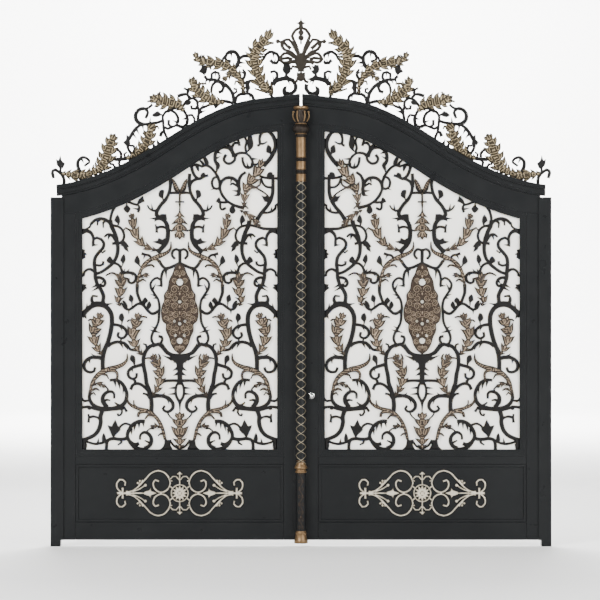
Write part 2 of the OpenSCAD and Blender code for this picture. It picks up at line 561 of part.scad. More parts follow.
// Upper field of the meeting side, under the high end of the sweep
module grille_high_end() {
  // Tall ring and the arch over it
  bar([[66, 247], [61, 248], [55, 250], [49, 253.5], [44, 259.5], [41, 266.5],
    [40.8, 273], [39, 279], [36, 283.5], [32, 288], [27, 290.5], [22, 289]], 3.2, 2.5);
  bar([[41, 266], [42, 272], [45, 276], [50, 278], [55.5, 276.8], [59.5, 272.5],
    [61, 266.5], [60, 260]], 3, 3.5);
  thorn([53, 278], [52.3, 272], 3);
  bar([[52, 270.3], [54.5, 272], [59.5, 269]], 1.5, 2.2);
  thorn([61, 264], [54, 264.7], 3.2);
  thorn([60.5, 260.5], [55.5, 259.3], 3);
  bar([[60.5, 268], [61, 275.5], [63.5, 280.5], [67.7, 283.5]], 3.5, 2.5);
  bud([[40, 252.5], [37, 253.5], [40.3, 257.7], [42, 254]]);
  bar([[39.5, 253], [47, 252.5], [50, 253.5]], 2.2, 2.8);
  bar([[41.5, 252.5], [41.8, 247], [44, 245.3], [47.3, 247]], 2.3, 2.2);
  bud([[54, 250.5], [51, 244.2], [54, 240.8], [57.3, 244]]);
  bar([[69, 229.3], [75, 228.8], [80, 227.5], [86, 225.8], [91, 225.5], [101, 225.3]], 2.3, 3);
  // Stile side
  bar([[95.5, 281], [95.7, 272], [95.3, 262], [93.5, 255], [89.5, 248.5], [84, 242],
    [79.5, 235]], 3, 4);
  polygon([[84, 259.5], [87.5, 258.5], [90.5, 260.5], [93, 256], [93, 252], [87, 253.5]]);
  bar([[101, 251], [98.3, 249.5], [98, 246.5], [95, 243.5], [90, 242], [84.5, 242]], 2, 2.3);
  thorn([94, 243], [94.5, 248], 2.6);
  bar([[82, 279.5], [88, 277.8], [94, 277.5], [101, 277]], 2.4, 2.6);
  bar([[83.5, 277], [85.5, 272], [89.5, 268.5], [96, 267.5]], 2.2, 2.2);
  bud([[89.5, 276.5], [90.5, 282.5], [95, 283.3], [95.3, 277]]);
  // High scroll in the corner
  bar([[79.7, 310.5], [82.3, 312.3], [82, 318], [84, 323.3], [88.5, 326], [93.3, 323.5],
    [97, 318], [98.3, 311], [97, 305], [94.5, 300], [91, 295], [86, 290]], 2.2, 4.5);
  bar([[88, 325], [88, 332]], 3, 3, 1);
  bar([[98, 314], [101, 317]], 3, 3, 1);
  bar([[82, 313], [85, 312.5], [89.8, 314.7]], 2.6, 1);
  bud([[94.5, 299.5], [92, 302.7], [88.8, 304.5], [90.3, 311.5], [94, 308.5], [93.8, 304]]);
  bud([[68, 303.5], [70.3, 307], [69.3, 313], [70.3, 320], [73.5, 321.8], [75.5, 312],
    [73.3, 307]]);
  bar([[65.5, 324], [68.3, 315], [67.3, 309], [68.7, 302]], 2, 2.3);
  // Wave of curls under the rail
  bar([[58.5, 322], [60, 316], [61.5, 310.5]], 1.8, 2.6);
  bar([[62, 313], [57, 313.3], [54, 310], [54, 306], [56, 302], [58.5, 299.5]], 2.2, 2.6);
  bar([[55.5, 299], [58.5, 302], [63, 303.3], [68, 302.8], [72, 299.5], [74.7, 294.5],
    [74.3, 290], [71, 288], [67.3, 289], [65, 293.5], [64.3, 298.8]], 2.6, 2.4);
  thorn([70.3, 288], [69, 293.5], 2.5);
  thorn([73, 297.2], [80.3, 297], 3);
  bar([[73, 292], [78, 291.3], [82.5, 293.3]], 2.6, 1.5);
  bar([[75.5, 283], [80, 287.5], [82.5, 293]], 1.2, 1.2);
  bar([[38.5, 291], [36.3, 295.5], [36.3, 301], [39, 306], [44, 308.7], [50, 308],
    [53.5, 304], [55, 299]], 3.5, 2.6);
  bud([[37.5, 283], [37.3, 289.5], [39.3, 294], [41.3, 290], [39, 285.5]]);
  bar([[43, 315], [48.5, 312], [54.5, 308]], 2.2, 2.6);
  bar([[53.5, 305], [56.5, 300], [56, 295.5], [51.5, 292.3], [47, 293.5], [45.3, 297.5],
    [47.6, 301.5]], 2.6, 2.6, 3);
  thorn([36.5, 297], [41.3, 299.5], 2.6);
  thorn([39, 304], [43, 302.5], 2.6);
  // Low cluster by the middle
  bar([[12, 297], [11.8, 290], [13.3, 284], [16, 279], [20.5, 276.3]], 3.5, 2.6);
  bar([[12.5, 290], [17, 291.3], [22.5, 289.5]], 2.6, 2);
  bud([[15.5, 291], [17.3, 286.5], [19.3, 284.3], [19.7, 288], [18, 291]]);
  bar([[9.7, 268], [12, 273.5], [16, 276], [21, 277], [25, 279], [29, 280.3]], 3.5, 2.4);
  bud([[21.5, 277.5], [22, 281.7], [25.3, 283], [26.3, 279]]);
  bud([[27, 290], [25, 294.5], [23.5, 299.7], [26.5, 299.3], [29.7, 294], [29.3, 290.5]]);
  bud([[24, 289.5], [22, 292.5], [20, 295.8], [23.2, 294.8], [26, 290.5]]);
  bar([[39.5, 279.5], [35, 277.5], [33, 273], [34, 268.5], [37, 266.5], [41, 267]], 2.4, 2.4);
  thorn([36.5, 267.3], [32, 265.3], 2.6);
}

// How much fuller than its drawn line each side of a scroll bar is
bar_fullness = 1.3;
// How far the palmette's bars swell past their drawn width
palmette_fullness = 2.6;
light_w = light_in - light_out;
light_h = lookup(light_mid, moved_line(light_drop_out, light_drop_in)) - light_z;
light_rows = 282;
// Stands a drawing of the light on the middle of its sill, at its size
module in_light() {
  translate([light_mid, light_z]) scale([light_w / 200, light_h / light_rows]) children();
}
module grille_scrolls() {
  color(black) upright(-bar_t / 2, bar_t / 2) intersection() {
    offset(delta = bar_fullness) in_light() {
      for (m = [0, 1]) mirror([m, 0]) grille_half();
      grille_low_end();
      grille_high_end();
    }
    light_field(0);
  }
}

// Bronze leaves of the light
module bronze_half() {
  // Leaf that curls over the inner vine
  frond([[-23, 203.5], [-31, 205.5], [-37, 208.5], [-42, 213.5], [-46, 221], [-48, 229],
    [-48.5, 236], [-50.5, 242]], 5.5, 6);
  bar([[-46, 222], [-51, 224], [-55.5, 226.5], [-57.7, 224]], 3, 1.5);
  // Long smooth leaf above the vine's double curl
  bar([[-43.8, 166], [-42.7, 175], [-40, 183], [-35.5, 190], [-28, 195], [-21, 197.7]],
    2.5, 5);
  bar([[-21, 197.7], [-13, 201.3], [-9.3, 206], [-9, 212.5]], 5, 1);
  bar([[-39, 184.5], [-33, 187.8], [-28, 188.3], [-26, 186]], 2.5, 1.8);
  frond([[-42.5, 175], [-37, 178.5], [-30.5, 177.5]], 3.2, 2);
  bar([[-43, 171], [-38, 173.8], [-34.5, 171.5]], 2.5, 1.2);
  bar([[-28, 194.5], [-23, 194.3], [-20, 190]], 3.5, 2.5);
  // Upright leaf between the long vine and the medallion
  frond([[-61, 146.5], [-63, 152], [-61.5, 159], [-60.3, 166], [-60.7, 173], [-61.5, 182]],
    6.5, 5);
  bar([[-61, 171], [-65, 178.5], [-70.5, 180.3], [-76, 177.5]], 3, 1.5);
  bar([[-60.5, 170], [-57, 175.5], [-51.5, 173.3]], 3, 1.5);
  // Two tall leaves over the lower arch
  frond([[-79.5, 96.5], [-84, 102.5], [-87.5, 110], [-88.5, 118], [-87, 126],
    [-83.5, 133], [-80.5, 140.5]], 7, 6);
  bar([[-88, 125], [-90, 133], [-94.3, 131.3]], 3, 1.4);
  frond([[-38, 96.5], [-43.5, 102], [-47, 110], [-48, 119], [-46, 127], [-43.5, 133],
    [-42, 140.5]], 7, 6);
  bar([[-45.5, 127], [-40, 135.5], [-33.3, 134.8]], 3, 1.5);
  bar([[-47.3, 125], [-50, 132.5], [-54.3, 130.5]], 3, 1.4);
  // Leaf under the medallion
  frond([[-28.5, 54], [-23.5, 61], [-20.7, 68], [-20, 75], [-21.5, 83], [-25, 90.5],
    [-28, 98.5]], 6.3, 6);
  bar([[-22.5, 85], [-20, 93], [-22, 97.7]], 2.6, 1.3);
  bar([[-24.5, 88], [-30, 93.5], [-35.5, 92.7]], 2.6, 1.3);
  // Great leaf of the corner ring
  bar([[-92.3, 57], [-90.3, 67], [-86, 74], [-80, 79], [-72, 82]], 2.5, 6);
  bar([[-72, 82], [-64.5, 84.3], [-58, 87.3], [-54.2, 92], [-54, 98]], 6, 1);
  bar([[-74, 81], [-67, 80.5], [-64, 76.5], [-65, 70]], 3.5, 2.5);
  bar([[-80, 77], [-75, 76], [-73, 72]], 3, 1.2);
  frond([[-91, 64], [-85, 67.8], [-78.5, 65.5], [-77, 63]], 3, 3);
  bar([[-91.5, 60], [-86, 62], [-82.3, 60]], 3, 1.2);
  bar([[-92, 56], [-88.3, 58], [-86.3, 55.3]], 2.4, 1.2);
  // Great leaf of the ring by the sill
  bar([[-54.7, 56], [-53, 48.5], [-48, 44], [-40.5, 41.3], [-32.5, 39.3]], 1.5, 4.5);
  bar([[-32.5, 39.3], [-27, 35.5], [-21.5, 29], [-17.5, 20.5], [-15, 10]], 4.5, 3);
  bar([[-30, 38.5], [-37, 38.8], [-42, 37], [-43, 33]], 4, 2.6);
  bar([[-27, 34.5], [-32.5, 35], [-35.7, 31]], 3, 1.8);
  frond([[-18, 22], [-23, 24], [-27.5, 24.3], [-30, 21.3]], 3.2, 3);
  bar([[-17, 16.3], [-20, 15.7], [-22.3, 13.7]], 2.4, 1.4);
  bar([[-43.5, 42.5], [-47, 46], [-47.3, 50.3]], 2.4, 1.4);
  // Little leaves at the head
  bud([[-1.5, 262.5], [-7, 270], [-7.7, 277], [-3.5, 272.5], [-0.5, 265]]);
}
module grille_leaves() {
  color(bronze) upright(-bar_t / 2 - leaf_relief, -bar_t / 2) intersection() {
    offset(delta = 0.01) in_light() {
      for (m = [0, 1]) mirror([m, 0]) bronze_half();
      // Flower at the foot, stem and pendant leaf at the head
      frond([[0, 0], [0, 12], [0, 26], [0, 39]], 8.5, 5);
      frond([[0, 243], [0, 229], [0, 214]], 8.5, 4);
      bar([[0, 263], [0, 240]], 2, 2.6, 1);
      bar([[-4.7, 253], [4.7, 253]], 1.6, 1.6, 1);
      // Two leaves of the tall ring
      frond([[66, 247], [66.5, 257], [68, 265.5], [71, 272.5], [76.5, 279], [81.5, 287],
        [85.5, 298]], 6.5, 6);
      frond([[61.5, 244.5], [68, 241.5], [74, 237], [79, 231.5], [82.5, 226.5]], 4, 5);
      bar([[63.5, 247.5], [68, 248.5], [70.5, 246]], 2.6, 1.4);
      bar([[70, 269], [76.5, 267.3], [82.5, 271], [82.7, 277.3]], 2.6, 1.6);
      bar([[72, 271], [80, 266.5], [88, 261.5], [93.5, 255.5]], 2, 1.6);
    }
    light_field(0);
  }
}

// Oval medallion of bronze filigree in the middle of the light
medallion_half = [[0, 191], [-5, 186.5], [-7.5, 180], [-11, 173], [-13, 163.5],
  [-16.3, 158], [-16.3, 152], [-18.3, 147], [-19.2, 138.5], [-17.7, 131], [-14.2, 127.8],
  [-14.3, 121.5], [-11.3, 114.5], [-9, 107], [-5.2, 101], [0, 97]];
module medallion_drawing() {
  difference() {
    polygon(concat(medallion_half,
      [for (i = [len(medallion_half) - 2:-1:1]) [-medallion_half[i][0], medallion_half[i][1]]]));
    for (c = [[0, 171, 3.4], [0, 111, 3], [-4.6, 116.5, 1.6], [4.6, 116.5, 1.6],
        [0, 128.5, 1.7], [-5.5, 131, 1.4], [5.5, 131, 1.4], [0, 151, 1.7]])
      translate([c[0], c[1]]) circle(c[2], $fn = 10);
  }
}
module medallion() {
  color(bronze) upright(-bar_t / 2 - leaf_relief, -bar_t / 2)
    offset(delta = 0.01) in_light() medallion_drawing();
}

// Crest over a leaf, on squares of about 10 mm, from the middle of the gate. Row 260 is the
// level of the cornice's outer end.
crest_row = 260;
crest_cols = 175.6;
module on_cornice() {
  translate([0, shoulder_z]) scale([-end_x / crest_cols, sweep_rise / 65.4])
    translate([0, -crest_row]) children();
}
module crest_drawing() {
  // Hook and bud over the post
  bar([[-178, 265], [-179, 269], [-177, 271], [-174, 269.3], [-171.5, 266.5], [-170.5, 263],
    [-171, 258]], 2, 2.2);
  polygon([[-173.8, 268], [-174, 272.3], [-175.5, 274.3], [-176.3, 278.5], [-174.6, 277.5],
    [-173.3, 281], [-172.2, 277.5], [-170, 275.5], [-171.2, 272.7], [-172.5, 271.5],
    [-172.3, 268]]);
  bar([[-173.5, 269], [-168, 267.3], [-162, 267.5], [-156, 268.5]], 1.8, 2.2);
  bar([[-158.3, 268], [-160.5, 273], [-160.5, 277], [-157.5, 279.8], [-154, 279],
    [-152.5, 276.3], [-156, 273.7]], 2.5, 1.4, 3);
  thorn([-158.5, 279.5], [-156.3, 275.8], 2);
  thorn([-154, 270], [-152, 260], 2.4);
  thorn([-161, 268], [-157, 259], 2.6);
  // Between the first two leaves
  bar([[-142, 269.3], [-139.5, 268.7], [-137.5, 265]], 1.6, 1.6);
  bar([[-137.7, 275], [-135.5, 275], [-133.7, 272.7], [-136, 269.5], [-137.3, 264]], 1.5, 1.9);
  bar([[-135.7, 285.3], [-132, 285.5], [-129.7, 283], [-129.5, 279.5], [-131, 276],
    [-130.5, 273], [-128, 272], [-126.3, 273.5], [-126.7, 275.7]], 1.9, 1.6);
  bar([[-134.3, 278.3], [-129, 278.6], [-124, 279.5], [-118, 281.5]], 2.3, 2.6);
  bar([[-135, 272.8], [-130.5, 272.6]], 1.7, 1.7, 1);
  bar([[-124, 279], [-119, 277], [-115.5, 275]], 1.6, 1.6);
  thorn([-123.3, 279], [-123.7, 274.7], 2);
  bar([[-126.5, 279], [-127.3, 282.3], [-125.3, 283.6]], 1.5, 1.1);
  bar([[-119, 281], [-113.5, 284], [-110.5, 282], [-110, 279]], 2.2, 1.6);
  // Leafy stem and its curl
  bud([[-124.6, 286], [-125.5, 288], [-127.9, 290.5], [-126, 292.7], [-125.4, 296.3],
    [-123.6, 293.5], [-123, 289]]);
  bar([[-125, 288], [-124, 285.3], [-121.5, 281.5]], 1.8, 1.8);
  bar([[-121.5, 282], [-119.8, 285.5], [-120.5, 288.2], [-123, 288.3]], 1.8, 1.5);
  bar([[-124.3, 292.5], [-121.5, 297], [-119, 300.5], [-115.5, 303.3], [-110, 304],
    [-104, 304.8], [-99, 306.5]], 2.4, 1.8);
  thorn([-121.5, 297.5], [-118.5, 293.7], 2.3);
  thorn([-118.8, 301], [-116.5, 296.5], 2.3);
  thorn([-114.2, 304], [-113.5, 299.5], 2.3);
  thorn([-111, 304], [-110, 300.3], 2);
  thorn([-109, 303.5], [-108.3, 308.5], 2);
  bar([[-113, 303.5], [-117, 305], [-119, 308], [-118.7, 311.5], [-116.3, 314.3],
    [-112.8, 315], [-110.3, 312.3], [-111.7, 308]], 3, 1.7, 3);
  bar([[-114, 314.7], [-110, 315.5], [-107, 318]], 1.6, 1.6);
  // Bud and the two rings before the third leaf
  bud([[-98.7, 310], [-101.5, 311.8], [-103.3, 313.2], [-107.3, 310.3], [-104.3, 308.9],
    [-101, 310]]);
  bar([[-99.3, 305.5], [-99.5, 309.5], [-97.5, 312.5], [-94, 313.8], [-91, 312.3],
    [-88.8, 309], [-88.5, 305.5], [-90, 302.8], [-92.8, 301.7], [-95.3, 303.5],
    [-95.2, 306.8]], 1.8, 1.9, 3);
  thorn([-88.7, 305], [-92.3, 306.5], 2);
  bar([[-99.3, 306], [-99, 302], [-96, 300.5], [-93.5, 301.5]], 1.8, 1.9);
  bar([[-99, 301.5], [-98.3, 298], [-96, 293]], 1.8, 1.8);
  bar([[-98, 298.7], [-100, 298], [-101.4, 295]], 1.6, 2.2);
  thorn([-105.5, 287], [-106.8, 291], 2.6);
  thorn([-102.5, 289.5], [-103.8, 293], 2.4);
  bar([[-96, 312.7], [-92, 315], [-87, 315], [-83.5, 312.3], [-81.7, 308], [-82.3, 304],
    [-85.5, 301.7], [-89.3, 303]], 1.8, 2.3);
  thorn([-82.3, 308], [-85.3, 307.3], 2.2);
  bar([[-81.8, 310], [-78.5, 310.5], [-77, 308.3], [-76.5, 304]], 1.7, 1.5);
  // Ring and sprigs before the fourth leaf
  bar([[-85.5, 316.5], [-82.3, 320.3], [-80, 322], [-77.5, 322.5], [-75, 320.5],
    [-74.3, 317], [-76, 314.8], [-78.7, 315], [-79, 317.3]], 2, 1.8, 3);
  bud([[-84.7, 318], [-83, 320.8], [-79, 320.3], [-80.5, 317.8]]);
  bar([[-79.5, 322], [-82, 325.3], [-84.5, 325.3], [-88.7, 324]], 2, 2.3);
  bar([[-82, 325], [-81, 328.3], [-84.3, 329.7]], 2.2, 1.4);
  thorn([-82.5, 327.7], [-77.5, 328], 2);
  bar([[-74.7, 317], [-73.3, 313], [-74, 309.5], [-74.5, 304]], 1.9, 2);
  thorn([-73.7, 312], [-69.3, 320], 2.6);
  bar([[-72, 315], [-67.5, 317], [-64, 319]], 2.2, 1.2);
  thorn([-73.5, 312], [-68.8, 313.5], 2.6);
  bar([[-48.5, 318.7], [-54, 320.2], [-61, 319.7]], 2, 2.4);
  bud([[-61.3, 320], [-63, 317.7], [-61.5, 315.3], [-59.8, 316.7]]);
  // Double scroll, ring and bud
  bar([[-64.7, 326.5], [-63.8, 331.5], [-61, 334.3], [-57.5, 333.3], [-55.7, 330.3],
    [-56.8, 327.5], [-59.3, 326.7]], 1.7, 2.2, 3);
  bar([[-69.5, 338.3], [-67.3, 336], [-62, 335.7], [-57, 333.8], [-52.5, 330.5],
    [-49.3, 326], [-48.3, 321.5], [-48.3, 314]], 1.9, 2.8);
  bar([[-60, 334.7], [-58.7, 337.5], [-59.3, 340.5], [-61.8, 341.5], [-64.3, 340],
    [-64.3, 337]], 1.9, 1.7, 3);
  thorn([-61.5, 341.5], [-61.5, 338.3], 1.8);
  thorn([-67.5, 336.7], [-69.2, 333], 2.2);
  thorn([-65, 336.3], [-66.3, 333], 2.2);
  polygon([[-68.5, 337.3], [-70.7, 340], [-73.6, 341.5], [-71.8, 344.5], [-71.4, 349],
    [-70, 349], [-69.7, 346.3], [-67.6, 345.8], [-67.8, 341.5], [-70, 338.5]]);
  // Arch, bud and comma beside the sixth leaf
  bar([[-48.5, 329.3], [-46.5, 329], [-46.3, 327], [-49.5, 325.3]], 1.5, 1.4);
  bar([[-47.7, 318], [-46.3, 323.3], [-43, 325.5], [-38, 325.8], [-35, 324], [-33, 319]],
    2, 2);
  thorn([-37, 326], [-36.6, 322], 2.2);
  bar([[-41.7, 324.5], [-41.5, 330.5]], 2.2, 2, 1);
  polygon([[-40.8, 334.3], [-39.8, 330], [-39.7, 325], [-37.8, 325.5], [-37.3, 328.5],
    [-36.3, 329.7], [-37.3, 332.3], [-36.3, 334.3], [-31, 335.3], [-37, 335.7]]);
  bar([[-43.7, 335], [-40.7, 338], [-40.3, 341], [-42, 343.3]], 2.4, 1.2);
  thorn([-40.3, 340.3], [-44, 341.8], 2);
  // Heart scroll before the sixth leaf
  bar([[-50.3, 349], [-53.5, 349.5], [-54.5, 351.7], [-53.3, 354.5], [-50, 356.2],
    [-47, 355.3], [-45, 352.3], [-45, 348.5], [-46.5, 345.5], [-48.5, 343.5]], 1.8, 3, 3);
  bar([[-53.7, 353.7], [-56, 351], [-56.8, 346.8]], 1.7, 1.4);
  thorn([-50.3, 356], [-50, 351.8], 2.2);
  bar([[-45, 350.5], [-41.5, 352.7], [-38.5, 352.8], [-33.5, 351.5]], 2.4, 2);
  thorn([-45, 348.3], [-39.8, 347.7], 2.4);
  thorn([-46, 346], [-42.7, 345.3], 2);
  // Curl, hook and foot scroll by the palmette
  bar([[-31, 348.5], [-27, 350.7], [-25.3, 353.7], [-22.5, 355.8], [-19.5, 355.5],
    [-16.7, 353.5], [-16, 350.3], [-17.5, 347.7], [-20, 347.8], [-22, 350]], 1.6, 2.2, 3);
  thorn([-20, 356], [-19.6, 351.5], 2.4);
  thorn([-19.6, 347], [-18.3, 350.6], 2);
  bar([[-22, 341], [-19.5, 342], [-17.3, 340.8], [-17.2, 338], [-18.7, 335]], 1.6, 2.2);
  thorn([-19.5, 334.5], [-20.2, 338.6], 1.8);
  bar([[-20.3, 332.3], [-18, 335], [-14, 336.3], [-9.5, 336.8], [-5.7, 335], [-3.8, 331.5],
    [-4.4, 328], [-7.5, 325.7], [-11, 326.7]], 3.4, 2.2, 3);
  bar([[-20.7, 334.5], [-21.5, 329], [-21, 322]], 1.8, 2);
  polygon([[-13.6, 328], [-12.5, 330.3], [-10.3, 331.3], [-10.7, 328], [-8, 325], [-9, 322],
    [-12.5, 324]]);
  thorn([-9.7, 337], [-8.2, 332.5], 2.6);
  bar([[-14.5, 335.5], [-11, 338], [-10.3, 341]], 2, 2);
  bar([[-7.5, 336], [-10.5, 338.5], [-10.3, 341]], 1.6, 2);
  bud([[-10.3, 339.5], [-13, 342], [-12.7, 345.7], [-11.3, 348], [-9, 348], [-7.3, 344],
    [-8, 341]]);
  bar([[-16, 350.2], [-13.3, 348.7], [-11, 346]], 1.6, 2);
}

// Palmette over the middle of the gate, on the crest's squares
module palmette_drawing() {
  for (m = [0, 1]) mirror([m, 0]) {
    // Half of the heart, the feet and the small curls
    polygon([[0, 355], [-3, 353.7], [-4.4, 351], [-4, 347.5], [-2.8, 345], [-1.9, 341.6],
      [-0.6, 341.9], [-0.6, 340.6], [-1.9, 340.6], [-2.8, 341], [-2.8, 336.5], [-1, 335],
      [0, 335]]);
    bar([[-2.3, 337], [-3.2, 334.6], [-5.3, 334]], 1.6, 1.4);
    bar([[-2, 344.6], [-6, 345.4], [-7.2, 343.2]], 1.5, 1.2);
    bar([[-4, 348.3], [-6.5, 348.4], [-9, 347.3]], 1.5, 1.6);
    // Side of the middle petal
    bar([[0, 373.2], [-3, 372.2], [-5, 370], [-6.4, 367.3], [-4.9, 363.5], [-3, 359],
      [-1.3, 353.5]], 1.5, 2);
    // Upper and lower side petals
    bar([[-1.8, 353.5], [-5, 359.5], [-8.5, 364.7], [-12.8, 363.7]], 1.6, 1.4);
    bar([[-16.5, 363.3], [-14.3, 363], [-13.7, 360], [-11.8, 357.5], [-7.5, 355.8],
      [-2.6, 351.5]], 1.5, 1.8);
    ball([-16.7, 363.4], 1.4);
    bar([[-12.6, 363.7], [-11, 361.3], [-7.5, 358.3]], 1.1, 2.2);
    bar([[-13.7, 364], [-12.7, 362.5], [-13.3, 360]], 1.5, 1.5);
    bar([[-3, 350.8], [-8, 354], [-12, 354.7], [-15.2, 350.5], [-12, 348.2],
      [-8, 348.8], [-3, 349.5]], 1.6, 1.6);
    bar([[-15, 350.7], [-9.5, 351.4], [-6.5, 350.3]], 1.4, 2);
  }
  // Beads in the middle petal and the cross on top
  ball([0, 369.8], 1.9);
  ball([0, 366], 2);
  bar([[0, 374], [0, 361.5]], 1.4, 0.8, 1);
  polygon([[0, 380], [-0.9, 377.6], [-3, 376.6], [-1.2, 375.6], [-1.5, 373], [1.5, 373],
    [1.2, 375.6], [3, 376.6], [0.9, 377.6]]);
}
module palmette() {
  color(bronze) upright(-bar_t / 2, bar_t / 2) offset(delta = palmette_fullness)
    on_cornice() palmette_drawing();
}
// The crest meets the palmette on the leaf that carries it, and clears it by gap on the other
module crest_scrolls(gap) {
  color(black) upright(-bar_t / 2, bar_t / 2) difference() {
    offset(delta = 0.01) difference() {
      offset(delta = bar_fullness) on_cornice() crest_drawing();
      offset(delta = palmette_fullness + gap + 0.02) on_cornice() palmette_drawing();
    }
    below(0, 0);
  }
}

// Bronze leaves of the crest, from the post to the middle
broad = 0.5;
module crest_leaves_drawing() {
  frond([[-172.5, 268.3], [-165, 267.3], [-158, 266.5], [-149, 268]], 4.6, 5, broad);
  frond([[-159, 266.5], [-150, 269], [-144, 272.5], [-140.5, 277.5], [-138.7, 284],
    [-137, 290], [-133.5, 297]], 6.4, 9, broad);
  frond([[-126, 279], [-119, 281.5], [-114.5, 285], [-111.3, 290], [-109.5, 295],
    [-108.3, 300], [-104.5, 304.8]], 5.6, 7, broad);
  bar([[-111, 293], [-111, 297.5], [-114, 297]], 2.4, 1.3);
  bar([[-108.3, 297], [-106, 301.5], [-103.3, 302.3], [-102.3, 300.3]], 2, 1.2);
  frond([[-84.3, 313], [-88, 317.3], [-94, 319.3], [-100, 320.3], [-105, 321.3],
    [-109.5, 324]], 6, 7, broad);
  bar([[-101, 320], [-103.7, 324.3], [-101, 327]], 2.6, 1.4);
  bar([[-104, 320.5], [-107.5, 320.7], [-110.7, 320]], 2.6, 1.2);
  frond([[-55, 319.7], [-61, 319.7], [-67, 322], [-72, 325.5], [-75.7, 329.3],
    [-78, 333.3], [-77, 338.7]], 5.8, 7, broad);
  bar([[-73.5, 326], [-74, 331], [-71.5, 333], [-68, 332.7]], 2.4, 1.3);
  bar([[-64.5, 321], [-64, 325.5], [-65, 329]], 2, 1.4);
  frond([[-41.5, 325.5], [-41.8, 331], [-44, 336.5], [-47.5, 341.3], [-52, 345],
    [-57.5, 347], [-64, 348], [-70, 349], [-74, 350.3], [-75.5, 353], [-76.5, 356.3]],
    4.6, 11, broad);
  frond([[-45.5, 338], [-50.5, 339.5], [-54, 337.3], [-57, 334.3]], 2.8, 3);
  bar([[-63, 348.3], [-65.3, 346.5], [-65, 343]], 2.4, 1.4);
  bar([[-68.5, 349], [-70.7, 350.5], [-69.7, 353.7]], 2, 1);
  bar([[-44.3, 334.5], [-47, 334.6], [-47.7, 332]], 2, 1.2);
  frond([[-21, 324.5], [-23.5, 328.5], [-28, 333.5], [-31, 339], [-33, 345.5],
    [-33.7, 352], [-31.7, 358], [-27, 363], [-23.7, 367], [-21.3, 373]], 6.6, 11, broad);
  bar([[-28, 360.5], [-23.7, 361.7], [-19.5, 362.3]], 3, 1.6);
  bar([[-22, 326], [-27, 330], [-32.5, 333], [-36.5, 334.8]], 2.4, 1.8);
  bar([[-22.3, 326.5], [-28, 327.7], [-33.3, 329.3]], 2, 1.2);
  bar([[-21, 325], [-20.7, 329], [-21.7, 333.3]], 2.2, 1.4);
}
module crest_leaves() {
  color(bronze) upright(-bar_t / 2 - leaf_relief, -bar_t / 2) difference() {
    offset(delta = 0.01) on_cornice() crest_leaves_drawing();
    below(0, 0);
  }
}

// Gilded ornament of the lower panel, on squares of 10 mm from its middle
ornament_square = 10;
module ornament_drawing() {
  scale(ornament_square) {
    for (m = [0, 1], k = [0, 1]) mirror([m, 0]) mirror([0, k]) {
      bar([[-38.5, 0.5], [-34, 1.7], [-30, 4.5], [-27, 7.5], [-24, 10.7], [-20.7, 14.2],
        [-16, 16.1], [-11, 14.8], [-8, 11.3], [-6.8, 7.2], [-8.5, 3], [-12, 0.8],
        [-15, 1], [-18, 3.3], [-19, 6.8], [-17.5, 9.4], [-14.8, 8.5]], 1.3, 1.4);
      bar([[-34, 1], [-29, 3], [-25, 5.6]], 1.2, 1.2);
      ball([-24.7, 5.7], 1.2);
      for (c = [[-30.2, 7.4], [-28.6, 8.8], [-26.7, 8.9]]) {
        ball(c, 0.9);
        bar([[-28.7, 5.7], c], 0.9, 0.9, 1);
      }
      bar([[-41, -0.1], [-41, 4]], 1.5, 1.7, 1);
      bar([[-42, 0.5], [-44.7, 3.3], [-45.2, 7], [-43.3, 9.7], [-41, 9.6], [-39, 7.8],
        [-39.4, 5.4]], 1.4, 1.3, 3);
      // Quarter of the crown over the wheel
      bar([[-6.9, 9.8], [-5, 12], [-2.5, 12], [-0.4, 9.5]], 1.1, 1.1);
      bar([[-6.8, 9], [-5.2, 8.7]], 1, 1.2, 1);
      bar([[0, 6], [0, 14.8]], 1.1, 1.1, 1);
      bar([[0, 13.7], [-1.9, 13.9]], 0.9, 1.2, 1);
      bud([[0, 13], [-1.2, 14.4], [0, 15.6], [1.2, 14.4]]);
      bar([[-5.3, 3.7], [-7.3, 5.2]], 1.2, 1.2, 1);
    }
    for (m = [0, 1]) mirror([m, 0]) {
      bud([[-25.5, 1], [-22, 2.2], [-20.8, 3.9], [-20.3, 1.5], [-16, 0], [-20.3, -1.5],
        [-20.8, -3.9], [-22, -2.2], [-25.5, -1]]);
      bar([[-45, 0], [-24, 0]], 1.9, 1, 1);
      bar([[-38, -1.8], [-38, 1.8]], 1.5, 1.5, 1);
      bar([[-13.5, -1], [-13.5, 1]], 2, 2, 1);
    }
    // Wheel with twelve petals
    difference() {
      circle(6.6, $fn = 20);
      circle(5.5, $fn = 20);
    }
    circle(1.5, $fn = 8);
    for (a = [0:30:330]) rotate(a)
      bud([[1, 0], [3.2, 1], [5.9, 0], [3.2, -1]]);
  }
}

// Column on the left leaf, which covers the meeting gap from the street
column_y = -face - column_gap - column_d / 2;
column_top = apex_z - cornice_h - 13;
module turned(profile) {
  translate([0, column_y, 0]) intersection() {
    rotate_extrude() polygon(profile);
    translate([-200, -200, 0]) cube([400, 200 + column_d / 2, 2 * apex_z]);
  }
}
r_shaft = column_d / 2;
capital_z = column_top - 225;
module column_capital() {
  color(black) turned([
    [0, capital_z], [36, capital_z], [36, capital_z + 25], [60, capital_z + 30], [62, capital_z + 60],
    [56, capital_z + 92], [44, capital_z + 96], [58, capital_z + 120], [60, capital_z + 150],
    [36, capital_z + 190], [36, capital_z + 205], [54, capital_z + 212], [54, column_top],
    [0, column_top]]);
}
backing_w = 34;
sleeve_tops = [0, 172, 262];
sleeve_hs = [144, 58, 54];
module column_backing(z0, z1) {
  block(-backing_w, edge_in - 2, column_y + column_gap, -face, z0, z1);
}
module column_shaft() {
  color(black) union() {
    translate([0, column_y, collar_z]) cylinder(r = r_shaft - 4, h = capital_z - collar_z);
    column_backing(collar_z, capital_z);
  }
}
